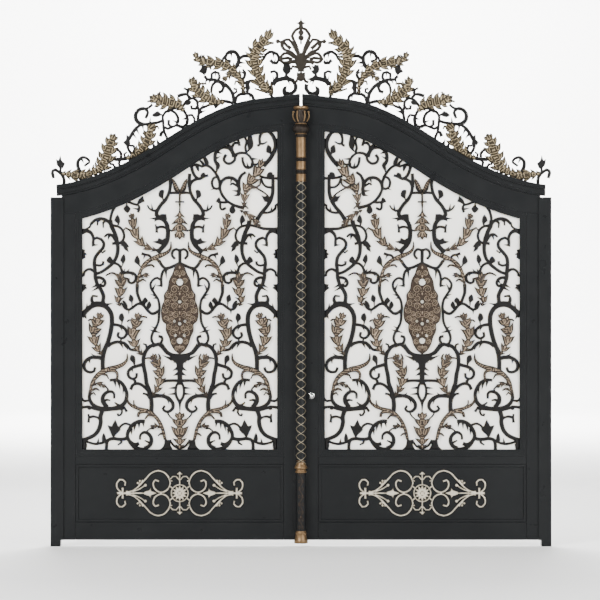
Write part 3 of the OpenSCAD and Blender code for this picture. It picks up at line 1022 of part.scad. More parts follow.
module column_sleeves() {
  color(bronze) for (i = [0:2])
    translate([0, column_y, capital_z - sleeve_tops[i] - sleeve_hs[i]]) difference() {
      cylinder(r = r_shaft, h = sleeve_hs[i]);
      translate([0, 0, -1]) cylinder(r = r_shaft - 4, h = sleeve_hs[i] + 2);
      translate([-100, column_gap, -1]) cube([200, 200, 400]);
    }
}
module column_carved_shaft() {
  color(black) union() {
    translate([0, column_y, base_top]) cylinder(r = r_shaft - 1, h = collar_z - base_top);
    column_backing(base_top, collar_z);
  }
}
module column_base() {
  color(bronze) turned([
    [0, column_lift], [50, column_lift], [50, column_lift + 20], [36, base_top - 10], [36, base_top],
    [0, base_top]]);
}
module lock_knob() {
  color("silver") translate([-75, -face, knob_z]) rotate([90, 0, 0]) union() {
    cylinder(d = 46, h = 4);
    cylinder(d = 16, h = 32);
    translate([0, 0, 40]) sphere(d = knob_d);
  }
}

left() post();  // left_post
right() post();  // right_post
left() post_hinges();  // left_post_hinges
right() post_hinges();  // right_post_hinges
left() hinge_stile();  // left_hinge_stile
left() meeting_stile();  // left_meeting_stile
left() top_rail();  // left_top_rail
left() cornice();  // left_cornice
left() lock_rail();  // left_lock_rail
left() bottom_rail();  // left_bottom_rail
left() light_bead();  // left_light_bead
left() frosted_glass();  // left_frosted_glass
left() lower_panel();  // left_lower_panel
left() panel_moulding();  // left_panel_moulding
left() panel_ornament();  // left_panel_ornament
left() grille_scrolls();  // left_grille_scrolls
left() grille_leaves();  // left_grille_leaves
left() medallion();  // left_medallion
left() crest_scrolls(0);  // left_crest_scrolls
left() crest_leaves();  // left_crest_leaves
left() leaf_hinges();  // left_leaf_hinges
right() hinge_stile();  // right_hinge_stile
right() meeting_stile();  // right_meeting_stile
right() top_rail();  // right_top_rail
right() cornice();  // right_cornice
right() lock_rail();  // right_lock_rail
right() bottom_rail();  // right_bottom_rail
right() light_bead();  // right_light_bead
right() frosted_glass();  // right_frosted_glass
right() lower_panel();  // right_lower_panel
right() panel_moulding();  // right_panel_moulding
right() panel_ornament();  // right_panel_ornament
right() grille_scrolls();  // right_grille_scrolls
right() grille_leaves();  // right_grille_leaves
right() medallion();  // right_medallion
right() crest_scrolls(palmette_gap);  // right_crest_scrolls
right() crest_leaves();  // right_crest_leaves
right() leaf_hinges();  // right_leaf_hinges
right() lock_knob();  // right_lock_knob
left() column_capital();
left() column_shaft();
left() column_sleeves();
left() column_carved_shaft();
left() column_base();
left() palmette();
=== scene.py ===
import math

import bmesh
import bpy
import numpy as np
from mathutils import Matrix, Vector, geometry, kdtree


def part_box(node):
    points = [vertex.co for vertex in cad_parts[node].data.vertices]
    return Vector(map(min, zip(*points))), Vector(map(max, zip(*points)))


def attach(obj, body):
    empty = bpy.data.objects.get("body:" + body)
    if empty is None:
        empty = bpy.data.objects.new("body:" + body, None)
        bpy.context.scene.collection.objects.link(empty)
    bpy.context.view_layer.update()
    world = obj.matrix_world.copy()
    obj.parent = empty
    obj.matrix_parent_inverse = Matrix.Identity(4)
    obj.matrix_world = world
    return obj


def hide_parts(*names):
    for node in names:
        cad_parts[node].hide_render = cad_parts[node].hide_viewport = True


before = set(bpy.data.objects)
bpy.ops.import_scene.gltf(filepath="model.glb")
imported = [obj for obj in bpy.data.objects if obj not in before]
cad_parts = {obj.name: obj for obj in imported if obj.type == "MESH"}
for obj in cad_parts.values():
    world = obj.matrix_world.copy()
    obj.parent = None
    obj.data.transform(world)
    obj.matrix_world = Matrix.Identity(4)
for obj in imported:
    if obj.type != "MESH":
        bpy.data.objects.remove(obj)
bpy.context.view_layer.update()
SIDES = ("left", "right")
BODY = {"left": "left_leaf", "right": "right_leaf"}
FULL_TURN = 2 * math.pi

# The castings, in metres and degrees.
VEIN = 0.0165          # from one rib of a cast leaf to the next
RIB_FADE = 0.010       # how far from a leaf's edge the painted highlight on its ribs reaches full brightness
CORNER = 44.0          # an outline that turns more than this keeps a sharp corner
NOTCH = -48.0          # an outline that turns back more than this has a notch between lobes
CLOSE = 0.0012         # outline points nearer than this are one point
ON_EDGE = 2e-4         # a point nearer than this to an edge stands on it


# ---------------------------------------------------------------- materials
class Shader:
    """A Principled material with short calls for the nodes that feed it."""

    def __init__(self, name, **sockets):
        self.mat = bpy.data.materials.new(name)
        self.mat.use_nodes = True
        self.tree = self.mat.node_tree
        self.bsdf = self.tree.nodes["Principled BSDF"]
        for key, value in sockets.items():
            self.bsdf.inputs[key.replace("_", " ")].default_value = value
        self.place = self.tree.nodes.new("ShaderNodeTexCoord").outputs["Object"]

    def node(self, kind, **inputs):
        n = self.tree.nodes.new(kind)
        for key, value in inputs.items():
            n.inputs[key.replace("_", " ")].default_value = value
        return n

    def link(self, a, b):
        self.tree.links.new(a, b)

    def noise(self, scale, detail=4.0, rough=0.55, stretch=None):
        n = self.node("ShaderNodeTexNoise", Scale=scale, Detail=detail, Roughness=rough)
        place = self.place
        if stretch:
            m = self.node("ShaderNodeMapping", Scale=stretch)
            self.link(place, m.inputs["Vector"])
            place = m.outputs["Vector"]
        self.link(place, n.inputs["Vector"])
        return n.outputs["Fac"]

    def attribute(self, name):
        n = self.tree.nodes.new("ShaderNodeAttribute")
        n.attribute_name = name
        return n.outputs["Fac"]

    def range(self, value, low, high, to_low=0.0, to_high=1.0):
        n = self.node("ShaderNodeMapRange", From_Min=low, From_Max=high, To_Min=to_low,
                      To_Max=to_high)
        self.link(value, n.inputs["Value"])
        return n.outputs["Result"]

    def math(self, operation, a, b):
        n = self.tree.nodes.new("ShaderNodeMath")
        n.operation = operation
        n.use_clamp = True
        for slot, value in zip(n.inputs, (a, b)):
            if isinstance(value, float):
                slot.default_value = value
            else:
                self.link(value, slot)
        return n.outputs["Value"]

    def ramp(self, value, *stops):
        n = self.tree.nodes.new("ShaderNodeValToRGB")
        points = n.color_ramp.elements
        while len(points) < len(stops):
            points.new(0.5)
        for point, (at, colour) in zip(points, stops):
            point.position = at
            point.color = (*colour, 1)
        self.link(value, n.inputs["Fac"])
        return n.outputs["Color"]

    def colour(self, socket):
        self.link(socket, self.bsdf.inputs["Base Color"])

    def rough(self, socket):
        self.link(socket, self.bsdf.inputs["Roughness"])

    def bump(self, height, strength, distance):
        n = self.node("ShaderNodeBump", Strength=strength, Distance=distance)
        self.link(height, n.inputs["Height"])
        self.link(n.outputs["Normal"], self.bsdf.inputs["Normal"])


def black_iron(name, low, high, rough=(0.34, 0.52), grain=60.0):
    s = Shader(name, Metallic=0.0, Specular_IOR_Level=0.14)
    s.colour(s.ramp(s.noise(2.6, 6.0), (0.3, low), (0.72, high)))
    s.rough(s.range(s.noise(9.0, 5.0), 0.3, 0.7, *rough))
    s.bump(s.math("ADD", s.noise(grain, 5.0), s.math("MULTIPLY", s.noise(900.0, 2.0), 0.35)),
           0.07, 0.0005)
    return s.mat


def patina_and_painted_light(name, dark, middle, light, rough=(0.36, 0.6), metal=0.7):
    """Cast metal, dark at its edges and in its hollows and light on its ribs, by its 'rise'
    layer. This is partly an antique finish rubbed bright on raised parts, partly painted shade
    in the hollows and painted highlight on the ribs.
    """
    s = Shader(name, Metallic=metal, Specular_IOR_Level=0.5)
    # Painted light over a random tone: the colour follows the 'rise' layer, painted shade where
    # it is low and painted highlight where it is high, plus noise.
    tone_and_painted_light = s.math("ADD", s.math("MULTIPLY", s.attribute("rise"), 0.75),
                  s.range(s.noise(38.0, 6.0, 0.65), 0.35, 0.75, 0.0, 0.35))
    s.colour(s.ramp(tone_and_painted_light, (0.08, dark), (0.45, middle), (0.92, light)))
    s.rough(s.range(s.noise(22.0, 5.0), 0.3, 0.7, rough[1], rough[0]))
    s.bump(s.math("ADD", s.noise(170.0, 5.0), s.noise(620.0, 3.0)), 0.3, 0.0007)
    return s.mat


def frosted(name):
    s = Shader(name, Specular_IOR_Level=0.5, Transmission_Weight=0.12, IOR=1.46,
               Subsurface_Weight=0.3, Subsurface_Scale=0.02)
    s.bsdf.inputs["Subsurface Radius"].default_value = (1.0, 0.9, 0.75)
    s.colour(s.ramp(s.noise(1.4, 3.0), (0.3, (0.90, 0.87, 0.80)), (0.75, (0.96, 0.945, 0.90))))
    s.rough(s.range(s.noise(30.0, 4.0), 0.3, 0.7, 0.42, 0.55))
    s.bump(s.noise(800.0, 3.0), 0.25, 0.0004)
    return s.mat


def steel(name):
    s = Shader(name, Metallic=1.0)
    s.colour(s.ramp(s.noise(60.0, 4.0), (0.3, (0.62, 0.62, 0.61)), (0.8, (0.80, 0.80, 0.79))))
    s.rough(s.range(s.noise(140.0, 4.0, 0.6, (1, 1, 12)), 0.3, 0.7, 0.1, 0.24))
    return s.mat


iron = black_iron("black_iron", (0.0062, 0.0068, 0.0073), (0.0086, 0.0094, 0.0099),
                  (0.27, 0.38))
scroll_iron = black_iron("scroll_iron", (0.0050, 0.0046, 0.0046), (0.0088, 0.0082, 0.0080),
                         (0.3, 0.5), 120.0)
bronze = patina_and_painted_light("antique_bronze", (0.013, 0.010, 0.008), (0.046, 0.036, 0.028),
                (0.30, 0.225, 0.155))
dark_bronze = patina_and_painted_light("dark_bronze", (0.006, 0.0045, 0.004), (0.014, 0.010, 0.007),
                     (0.034, 0.023, 0.016))
crest_bronze = patina_and_painted_light("crest_bronze", (0.012, 0.010, 0.007), (0.052, 0.042, 0.027),
                      (0.34, 0.27, 0.165))
palmette_bronze = patina_and_painted_light("palmette_bronze", (0.006, 0.005, 0.004), (0.010, 0.008, 0.006),
                         (0.022, 0.017, 0.012))
gold = patina_and_painted_light("pale_gold", (0.12, 0.10, 0.072), (0.36, 0.315, 0.235), (0.66, 0.60, 0.48),
              (0.3, 0.48), 0.75)
sleeve_bronze = patina_and_painted_light("sleeve_bronze", (0.045, 0.026, 0.013), (0.13, 0.078, 0.036),
                       (0.24, 0.155, 0.075), (0.32, 0.5))
wire_bronze = patina_and_painted_light("wire_bronze", (0.10, 0.085, 0.06), (0.24, 0.205, 0.145),
                     (0.42, 0.37, 0.27))
glass = frosted("frosted_cream_glass")
chrome = steel("polished_steel")


# ---------------------------------------------------------------- meshes
def placed(name, data):
    """A new object in the scene."""
    thing = bpy.data.objects.new(name, data)
    bpy.context.scene.collection.objects.link(thing)
    return thing


def finder(points):
    """A tree that finds the nearest of some [x, z] points."""
    tree = kdtree.KDTree(len(points))
    for i, p in enumerate(points):
        tree.insert((p[0], p[1], 0), i)
    tree.balance()
    return tree


def nearest(tree, points):
    """Distance of each point from the nearest one in the tree."""
    return np.array([tree.find((p[0], p[1], 0))[2] for p in points])


def turning(come, out):
    """Angle from each direction in come to the one in out, left turns positive."""
    return np.arctan2(come[:, 0] * out[:, 1] - come[:, 1] * out[:, 0], (come * out).sum(1))


def stacked(rows, around):
    """Faces of a closed stack of rings: its wall and its two caps."""
    faces = []
    for i in range(rows - 1):
        for k in range(around):
            j = (k + 1) % around
            faces.append((i * around + k, i * around + j, (i + 1) * around + j,
                          (i + 1) * around + k))
    faces.append(tuple(range(around))[::-1])
    faces.append(tuple((rows - 1) * around + k for k in range(around)))
    return faces


def piece(name, verts, faces, material, body, smooth=40.0, rise=None, replaces=()):
    mesh = bpy.data.meshes.new(name)
    mesh.from_pydata([tuple(map(float, v)) for v in verts], [], [tuple(f) for f in faces])
    mesh.validate()
    mesh.materials.append(material)
    mesh.shade_smooth()
    mesh.set_sharp_from_angle(angle=math.radians(smooth))
    # The 'rise' layer holds how light the cast-metal colour is painted here: partly the rubbed
    # finish, partly painted highlight and painted shade.
    if rise is not None:
        layer = mesh.attributes.new("rise", "FLOAT", "POINT")
        layer.data.foreach_set("value", np.asarray(rise, np.float32))
    thing = placed(name, mesh)
    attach(thing, body)
    if replaces:
        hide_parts(*replaces)
    return thing


def welded(node):
    """A CAD node's corners and triangles, with the copies of each corner joined."""
    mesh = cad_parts[node].data
    co = np.array([v.co for v in mesh.vertices], float)
    key, index = np.unique(np.round(co, 5), axis=0, return_inverse=True)
    index = index.reshape(-1)
    mesh.calc_loop_triangles()
    tris = np.array([index[list(t.vertices)] for t in mesh.loop_triangles])
    good = (tris[:, 0] != tris[:, 1]) & (tris[:, 1] != tris[:, 2]) & (tris[:, 2] != tris[:, 0])
    return key, tris[good]


def outlines(node):
    """Closed loops round the flat front of a CAD plate, seen from the street: [x, z] rows."""
    co, tris = welded(node)
    front = co[:, 1].min()
    flat = tris[(np.abs(co[tris][:, :, 1] - front) < 1e-4).all(1)]
    edges = {}
    for t in flat:
        a, b, c = co[t]
        if (b - a)[0] * (c - a)[2] - (b - a)[2] * (c - a)[0] < 0:
            t = t[::-1]
        for k in range(3):
            edges[(t[k], t[(k + 1) % 3])] = True
    border = {}
    for a, b in edges:
        if (b, a) not in edges:
            border.setdefault(a, []).append(b)
    loops = []
    while border:
        start = next(iter(border))
        loop, at = [], start
        while at in border:
            loop.append(at)
            ends = border[at]
            nxt = ends.pop()
            if not ends:
                del border[at]
            at = nxt
            if at == start:
                break
        if len(loop) > 2:
            loops.append(co[loop][:, [0, 2]])
    return loops, front, co[:, 1].max()


def rounded(loop, step):
    """A loop drawn again as a smooth curve with points step apart. Sharp corners stay."""
    keep = [loop[0]]
    for p in loop[1:]:
        if np.hypot(*(p - keep[-1])) > CLOSE:
            keep.append(p)
    if len(keep) > 3 and np.hypot(*(keep[0] - keep[-1])) <= CLOSE:
        keep.pop()
    p = np.array(keep)
    n = len(p)
    if n < 4:
        return p
    after = np.roll(p, -1, 0) - p
    size = np.hypot(*after.T)[:, None]
    out = after / size
    come = np.roll(out, 1, 0)
    sharp = np.degrees(np.abs(turning(come, out))) > CORNER
    tangent = come + out
    length = np.maximum(np.hypot(*tangent.T), 1e-6)[:, None]
    tangent = tangent / length
    curve = []
    for i in range(n):
        j = (i + 1) % n
        t0 = out[i] if sharp[i] else tangent[i]
        t1 = out[i] if sharp[j] else tangent[j]
        s = size[i, 0]
        steps = max(1, int(round(s / step)))
        for k in range(steps):
            t = k / steps
            h = (2 * t**3 - 3 * t**2 + 1, t**3 - 2 * t**2 + t, 3 * t**2 - 2 * t**3, t**3 - t**2)
            curve.append(h[0] * p[i] + h[1] * s * t0 + h[2] * p[j] + h[3] * s * t1)
    return np.array(curve)


class Mask:
    """Which points lie inside a set of loops, on squares of half a millimetre."""

    CELL = 0.0005
    BORDER = 0.002

    def __init__(self, loops):
        a = np.concatenate(loops)
        self.low = a.min(0) - self.BORDER
        cols, rows = np.ceil((a.max(0) + self.BORDER - self.low) / self.CELL).astype(int)
        grid = np.zeros((rows, cols), bool)
        b = np.concatenate([np.roll(l, -1, 0) for l in loops])
        ya = (a[:, 1] - self.low[1]) / self.CELL
        yb = (b[:, 1] - self.low[1]) / self.CELL
        xa = (a[:, 0] - self.low[0]) / self.CELL
        xb = (b[:, 0] - self.low[0]) / self.CELL
        first = np.ceil(np.minimum(ya, yb) - 0.5).astype(int)
        last = np.ceil(np.maximum(ya, yb) - 0.5).astype(int)
        crossings = [[] for _ in range(rows)]
        for k in np.nonzero(last > first)[0]:
            for r in range(first[k], last[k]):
                f = (r + 0.5 - ya[k]) / (yb[k] - ya[k])
                crossings[r].append(xa[k] + f * (xb[k] - xa[k]))
        for r, xs in enumerate(crossings):
            xs.sort()
            for x0, x1 in zip(xs[::2], xs[1::2]):
                grid[r, int(math.ceil(x0 - 0.5)):int(math.ceil(x1 - 0.5))] = True
        self.grid = grid

    def inside(self, points):
        cell = np.floor((np.asarray(points) - self.low) / self.CELL).astype(int)
        cell = np.clip(cell, 0, np.array(self.grid.shape[::-1]) - 1)
        return self.grid[cell[:, 1], cell[:, 0]]


def from_edge(loops, points):
    """Distance of each point from the nearest edge of the loops."""
    dense = []
    for loop in loops:
        nxt = np.roll(loop, -1, 0)
        for t in (0.0, 0.34, 0.67):
            dense.append(loop + t * (nxt - loop))
    return nearest(finder(np.concatenate(dense)), points)


def dome(radius, height, ridge=0.0):
    """Height above the edge at a distance d from it: a rounded shoulder, then a slope."""
    def rise(d):
        t = np.minimum(d / radius, 1)
        return height * np.sqrt(1 - (1 - t) ** 2) + ridge * np.maximum(d - radius, 0)
    return rise


def chiselled(height, reach, steep=1.15):
    """Height above the edge that climbs to a rib along the middle of every lobe."""
    def rise(d):
        return height * np.tanh(steep * d / reach) / math.tanh(steep)
    return rise


def furrows(loops, mask, step=0.0015, longest=0.07):
    """Lines cut into a leaf from each notch between two lobes, towards its middle rib."""
    tree = finder(np.concatenate(loops))
    found = []
    for loop in loops:
        come = loop - np.roll(loop, 1, 0)
        out = np.roll(loop, -1, 0) - loop
        come /= np.maximum(np.hypot(*come.T), 1e-9)[:, None]
        out /= np.maximum(np.hypot(*out.T), 1e-9)[:, None]
        for i in np.nonzero(turning(come, out) < math.radians(NOTCH))[0]:
            way = come[i] - out[i]
            way /= max(np.hypot(*way), 1e-9)
            deepest = 0.0
            for k in range(1, int(longest / step)):
                p = loop[i] + way * step * k
                d = tree.find((p[0], p[1], 0))[2]
                if not mask.inside([p])[0] or d < deepest - 2 * step:
                    break
                deepest = max(deepest, d)
                found.append((p[0], p[1]))
    return np.array(found)


def plate(name, node, body, material, step, grid, shape, edge, behind=False,
          veined=False):
    """A cast plate over a CAD node. It fills the node's outline. Its face rises by shape from an
    edge band that is edge metres thick, and its back is flat, or the same where behind is set.
    Where veined is set, its lobes are parted by furrows that run in from their notches."""
    loops, front, back = outlines(node)
    loops = [rounded(l, step) for l in loops]
    loops = [l for l in loops if len(l) > 2]
    mask = Mask(loops)
    every = np.concatenate(loops)
    low, high = every.min(0), every.max(0)
    xs = np.arange(low[0], high[0], grid)
    zs = np.arange(low[1], high[1], grid * 0.866)     # rows of even triangles
    net = np.array([(x + (grid / 2 if r % 2 else 0), z) for r, z in enumerate(zs) for x in xs])
    net = net[mask.inside(net)]
    net = net[from_edge(loops, net) > 0.62 * grid]
    edges, at = [], 0
    for l in loops:
        edges += [(at + i, at + (i + 1) % len(l)) for i in range(len(l))]
        at += len(l)
    points = np.concatenate([every, net])
    co, _, tris, *_ = geometry.delaunay_2d_cdt([Vector(p) for p in points], edges, [], 0, 1e-6)
    co = np.array([tuple(v) for v in co])
    tris = np.array([t for t in tris if len(t) == 3])
    tris = tris[mask.inside(co[tris].mean(1))]
    used, tris = np.unique(tris, return_inverse=True)
    tris = tris.reshape(-1, 3)
    co = co[used]
    rim = {}
    for t in tris:
        for k in range(3):
            e = (t[k], t[(k + 1) % 3])
            rim[e] = True
    rim = [e for e in rim if (e[1], e[0]) not in rim]
    d = from_edge(loops, co)
    d[d < ON_EDGE] = 0
    on_rim = np.zeros(len(co), bool)
    on_rim[[e[0] for e in rim]] = True
    d[on_rim] = 0
    up = shape(d)
    # bright is painted light for the cast-metal colour: lighter where the face stands higher, a
    # painted highlight over the rubbed finish.
    bright = up / max(up.max(), 1e-6)
    if veined:
        apart = nearest(finder(furrows(loops, mask)), co)
        vein = 0.5 - 0.5 * np.cos(FULL_TURN * apart / VEIN)
        up *= 0.5 + 0.5 * vein
        # In veined leaves bright is painted shade at the edges and in the furrows and painted
        # highlight on the ribs.
        bright = np.clip(d / RIB_FADE, 0, 1) * (0.1 + 0.9 * vein)
    n = len(co)
    middle = (front + back) / 2
    base = middle - edge / 2 if behind else back - edge
    near = np.column_stack([co[:, 0], base - up, co[:, 1]])
    far_y = middle + edge / 2 + up if behind else np.full(n, back)
    far = np.column_stack([co[:, 0], far_y, co[:, 1]])
    faces = [tuple(t) for t in tris]
    verts = np.concatenate([near, far])
    faces += [(t[2] + n, t[1] + n, t[0] + n) for t in tris]
    faces += [(a, a + n, b + n, b) for a, b in rim]
    rise = np.concatenate([bright, bright if behind else np.zeros(n)])
    return piece(name, verts, faces, material, body, 35.0, rise, (node,))


def softened(node, body, material, width, segments=2, flat=0.6, hard_edge=28):
    """A CAD node with its edges eased where its faces meet at more than hard_edge degrees. Faces
    within flat degrees of each other are joined first."""
    co, tris = welded(node)
    mesh = bpy.data.meshes.new(node + "_eased")
    mesh.from_pydata([tuple(v) for v in co], [], [tuple(int(i) for i in t) for t in tris])
    bm = bmesh.new()
    bm.from_mesh(mesh)
    bmesh.ops.recalc_face_normals(bm, faces=bm.faces)
    bmesh.ops.dissolve_limit(bm, angle_limit=math.radians(flat), verts=bm.verts, edges=bm.edges)
    hard = [e for e in bm.edges if len(e.link_faces) == 2
            and e.calc_face_angle(0.0) > math.radians(hard_edge)]
    bmesh.ops.bevel(bm, geom=hard, offset=width, offset_type="OFFSET", segments=segments,
                    profile=0.5, affect="EDGES", clamp_overlap=True)
    bm.to_mesh(mesh)
    bm.free()
    mesh.materials.append(material)
    mesh.shade_smooth()
    mesh.set_sharp_from_angle(angle=math.radians(50))
    thing = placed(node + "_eased", mesh)
    normals = thing.modifiers.new("normals", "WEIGHTED_NORMAL")
    normals.weight = 100
    normals.keep_sharp = True
    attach(thing, body)
    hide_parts(node)
    return thing


def swept(paths, sides=8):
    """Tubes along paths of (point, radius): their corners and faces."""
    verts, faces = [], []
    for path in paths:
        start = len(verts)
        pts = [Vector(p) for p, _ in path]
        side = None
        for i, (p, r) in enumerate(path):
            along = (pts[min(i + 1, len(pts) - 1)] - pts[max(i - 1, 0)]).normalized()
            if side is None:
                side = along.orthogonal().normalized()
            side = (side - along * side.dot(along)).normalized()
            other = along.cross(side)
            for k in range(sides):
                a = FULL_TURN * k / sides
                verts.append(tuple(pts[i] + r * (math.cos(a) * side + math.sin(a) * other)))
        for i in range(len(path) - 1):
            for k in range(sides):
                j = (k + 1) % sides
                a = start + i * sides
                faces.append((a + k, a + sides + k, a + sides + j, a + j))
        faces.append(tuple(start + k for k in range(sides)))
        faces.append(tuple(start + (len(path) - 1) * sides + k for k in range(sides))[::-1])
    return verts, faces


def curl(centre, radius, turns, start, way, thick, y, points=26):
    """A flat spiral that winds in to its middle, as points and radii for swept()."""
    path = []
    for k in range(points):
        t = k / (points - 1)
        a = start + way * FULL_TURN * turns * t
        r = radius * (1 - 0.82 * t)
        path.append(((centre[0] + r * math.cos(a), y, centre[1] + r * math.sin(a)),
                     thick * (1 - 0.35 * t)))
    return path


def filigree(side):
    """Cast curls with three thorns each, and a line of buds, over the medallion's plate."""
    low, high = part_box(side + "_medallion")
    unit = (high.x - low.x) / 38.4          # the curls are laid out on 38.4 units across
    row = (high.z - low.z) / 94             # and 94 rows up
    mid = (low.x + high.x) / 2
    face = low.y + 0.002
    proud = 0.006                           # the most that a curl stands out of the plate
    wire = 0.0034
    # Each curl's place across and up, its radius in units and the angle it starts at.
    curls = ((-3.2, 83, 2.6, 1.2), (-5.6, 75.5, 2.6, 0.4), (-5.4, 66.5, 4.3, 0.0),
             (-11.2, 60.5, 3.2, 2.2), (-5.0, 57.5, 3.2, 3.4), (-12.6, 52.5, 3.4, 1.0),
             (-5.4, 49.5, 3.6, 0.2), (-14.4, 45.0, 3.2, 2.6), (-9.4, 42.0, 2.6, 4.0),
             (-4.0, 40.5, 3.4, 1.4), (-13.8, 37.2, 2.8, 5.0), (-8.6, 34.6, 3.0, 0.8),
             (-10.4, 28.0, 3.0, 2.0), (-3.6, 27.0, 2.8, 3.6), (-6.8, 22.0, 4.0, 0.6),
             (-6.0, 13.0, 2.8, 1.8), (-3.0, 6.5, 2.2, 0.2))
    paths = []
    for u, v, r, start in curls:
        r *= unit
        z = low.z + v * row
        for way in (1, -1):
            x = mid + way * u * unit
            a = start if way > 0 else math.pi - start
            paths.append(curl((x, z), r, 1.7, a, way, wire, face))
            for k in range(3):
                root = a - way * (0.5 + 0.75 * k)
                tip = root + 0.25 * way
                near = (x + r * math.cos(root), face, z + r * math.sin(root))
                far = (x + 1.42 * r * math.cos(tip), face - 0.001, z + 1.42 * r * math.sin(tip))
                paths.append([(near, wire), (far, 0.0008)])
    for v in (89, 80, 62, 49, 43, 36, 22, 8):
        z = low.z + v * row
        paths.append([((mid, face - out, z + up), thick) for up, out, thick in
                      ((0.013, 0, 0.001), (0.004, 0.002, 0.0055), (-0.004, 0.002, 0.0055),
                       (-0.013, 0, 0.001))])
    verts, faces = swept(paths)
    verts = [(x, max(y, low.y - proud), z) for x, y, z in verts]
    # Painted highlight: each point of a curl is coloured lighter the further it stands out of
    # the plate.
    rises = [min(1.0, max(0.0, (face + 0.001 - v[1]) / 0.0045)) for v in verts]
    piece(side + "_filigree", verts, faces, bronze, BODY[side], 50.0, rises)


# ---------------------------------------------------------------- plates of the two leaves
# Each call ends with the step along the outline, the grid inside it, the rise, the edge's
# thickness and whether both faces rise.
for side in SIDES:
    body = BODY[side]
    plate(side + "_scrollwork", side + "_grille_scrolls", body, scroll_iron,
          0.005, 0.0065, dome(0.009, 0.011), 0.005)
    plate(side + "_acanthus", side + "_grille_leaves", body, bronze,
          0.0035, 0.0041, chiselled(0.011, 0.010), 0.003, veined=True)
    plate(side + "_crest", side + "_crest_scrolls", body, scroll_iron,
          0.005, 0.0065, dome(0.009, 0.006), 0.004, True)
    plate(side + "_crest_acanthus", side + "_crest_leaves", body,
          crest_bronze, 0.003, 0.0036, chiselled(0.013, 0.013), 0.003, veined=True)
    plate(side + "_filigree_plate", side + "_medallion", body, dark_bronze,
          0.005, 0.006, dome(0.012, 0.002), 0.003)
    filigree(side)
    plate(side + "_gilding", side + "_panel_ornament", body, gold,
          0.003, 0.0036, dome(0.006, 0.006), 0.003)
plate("palmette_casting", "palmette", "left_leaf", palmette_bronze,
      0.004, 0.0045, dome(0.011, 0.0065), 0.004, True)

# ---------------------------------------------------------------- frame
for side in SIDES:
    body = BODY[side]
    for part, ease in (("hinge_stile", 0.003), ("meeting_stile", 0.003), ("bottom_rail", 0.003),
                       ("lock_rail", 0.003), ("top_rail", 0.0025), ("cornice", 0.002),
                       ("light_bead", 0.0012), ("panel_moulding", 0.004)):
        softened(side + "_" + part, body, iron, ease)
    softened(side + "_lower_panel", body, iron, 0.002)
    softened(side + "_post", "posts", iron, 0.003)
    softened(side + "_frosted_glass", body, glass, 0.0008, 1)

# ---------------------------------------------------------------- column on the left leaf
BACK = 0.036            # from the column's axis to the strip that carries it
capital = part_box("column_capital")[0].z
base_low, base_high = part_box("column_base")
sleeve_low, sleeve_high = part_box("column_sleeves")
collar_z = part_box("column_shaft")[0].z
carved_low, carved_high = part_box("column_carved_shaft")
carved_height = carved_high.z - carved_low.z
axis = ((base_low.x + base_high.x) / 2, base_low.y + (base_high.x - base_low.x) / 2)
stop_y = axis[1] + BACK


def on_column(radius, angle, z):
    """A point at a height z, round the column's axis."""
    return axis[0] + radius * math.cos(angle), axis[1] + radius * math.sin(angle), z


def column_piece(name, profile, material, shape=None, replaces=(),
                 around=96):
    """A piece turned about the column's axis from [radius, height] rows, and cut off flat at its
    back. shape(angle, z, r) gives a carved radius and how bright that point is painted, from 0
    to 1: partly the rubbed finish, partly painted highlight on raised parts."""
    verts, rise = [], []
    for r, z in profile:
        for k in range(around):
            a = FULL_TURN * k / around
            radius, bright = shape(a, z, r) if shape else (r, 0.5)
            verts.append(on_column(radius, a, z))
            rise.append(bright)
    thing = piece(name, verts, stacked(len(profile), around), material, "left_leaf", 38.0,
                  rise, replaces)
    for v in thing.data.vertices:
        v.co.y = min(v.co.y, stop_y)


def rounded_profile(corners, ease=0.0025, steps=4):
    """A profile of [radius, height] corners with each inner corner rounded off."""
    out = [corners[0]]
    for a, b, c in zip(corners, corners[1:], corners[2:]):
        a, b, c = (np.array(p, float) for p in (a, b, c))
        cut = min(ease, np.hypot(*(a - b)) / 2.2, np.hypot(*(c - b)) / 2.2)
        p = b + (a - b) / max(np.hypot(*(a - b)), 1e-9) * cut
        q = b + (c - b) / max(np.hypot(*(c - b)), 1e-9) * cut
        for k in range(steps + 1):
            t = k / steps
            out.append(tuple((1 - t) ** 2 * p + 2 * t * (1 - t) * b + t * t * q))
    out.append(corners[-1])
    return out


def ring_profile(r, z, half, swell):
    """A bulging ring from z - half to z + half."""
    return [(r + swell * math.sin(math.pi * k / 10), z - half + 2 * half * k / 10)
            for k in range(11)]


def raised(corners, foot):
    """Corners of [radius, height over a foot], with the foot's own height added."""
    return [(r, foot + z) for r, z in corners]


# The capital: a gadrooned torus, a bulb wrapped in leaves, a rim and six volutes.
TORUS = (0.030, 0.095)                  # heights over the capital's foot
BULB = (0.118, 0.180)


def gadroons(a, z, r):
    """Lobes round the torus and leaves round the bulb of the capital."""
    t = z - capital
    # The second value of each return is painted light: lighter on each lobe and leaf, darker
    # between them, painted highlight and painted shade over the finish.
    if TORUS[0] < t < TORUS[1]:
        wave = abs(math.sin(8 * a)) ** 0.7
        return r * (0.955 + 0.045 * wave), 0.1 + 0.5 * wave
    if BULB[0] < t < BULB[1]:
        wave = abs(math.cos(6 * a + 40 * (t - BULB[0])))
        return r * (0.93 + 0.09 * wave), 0.15 + 0.6 * wave
    return r, 0.35


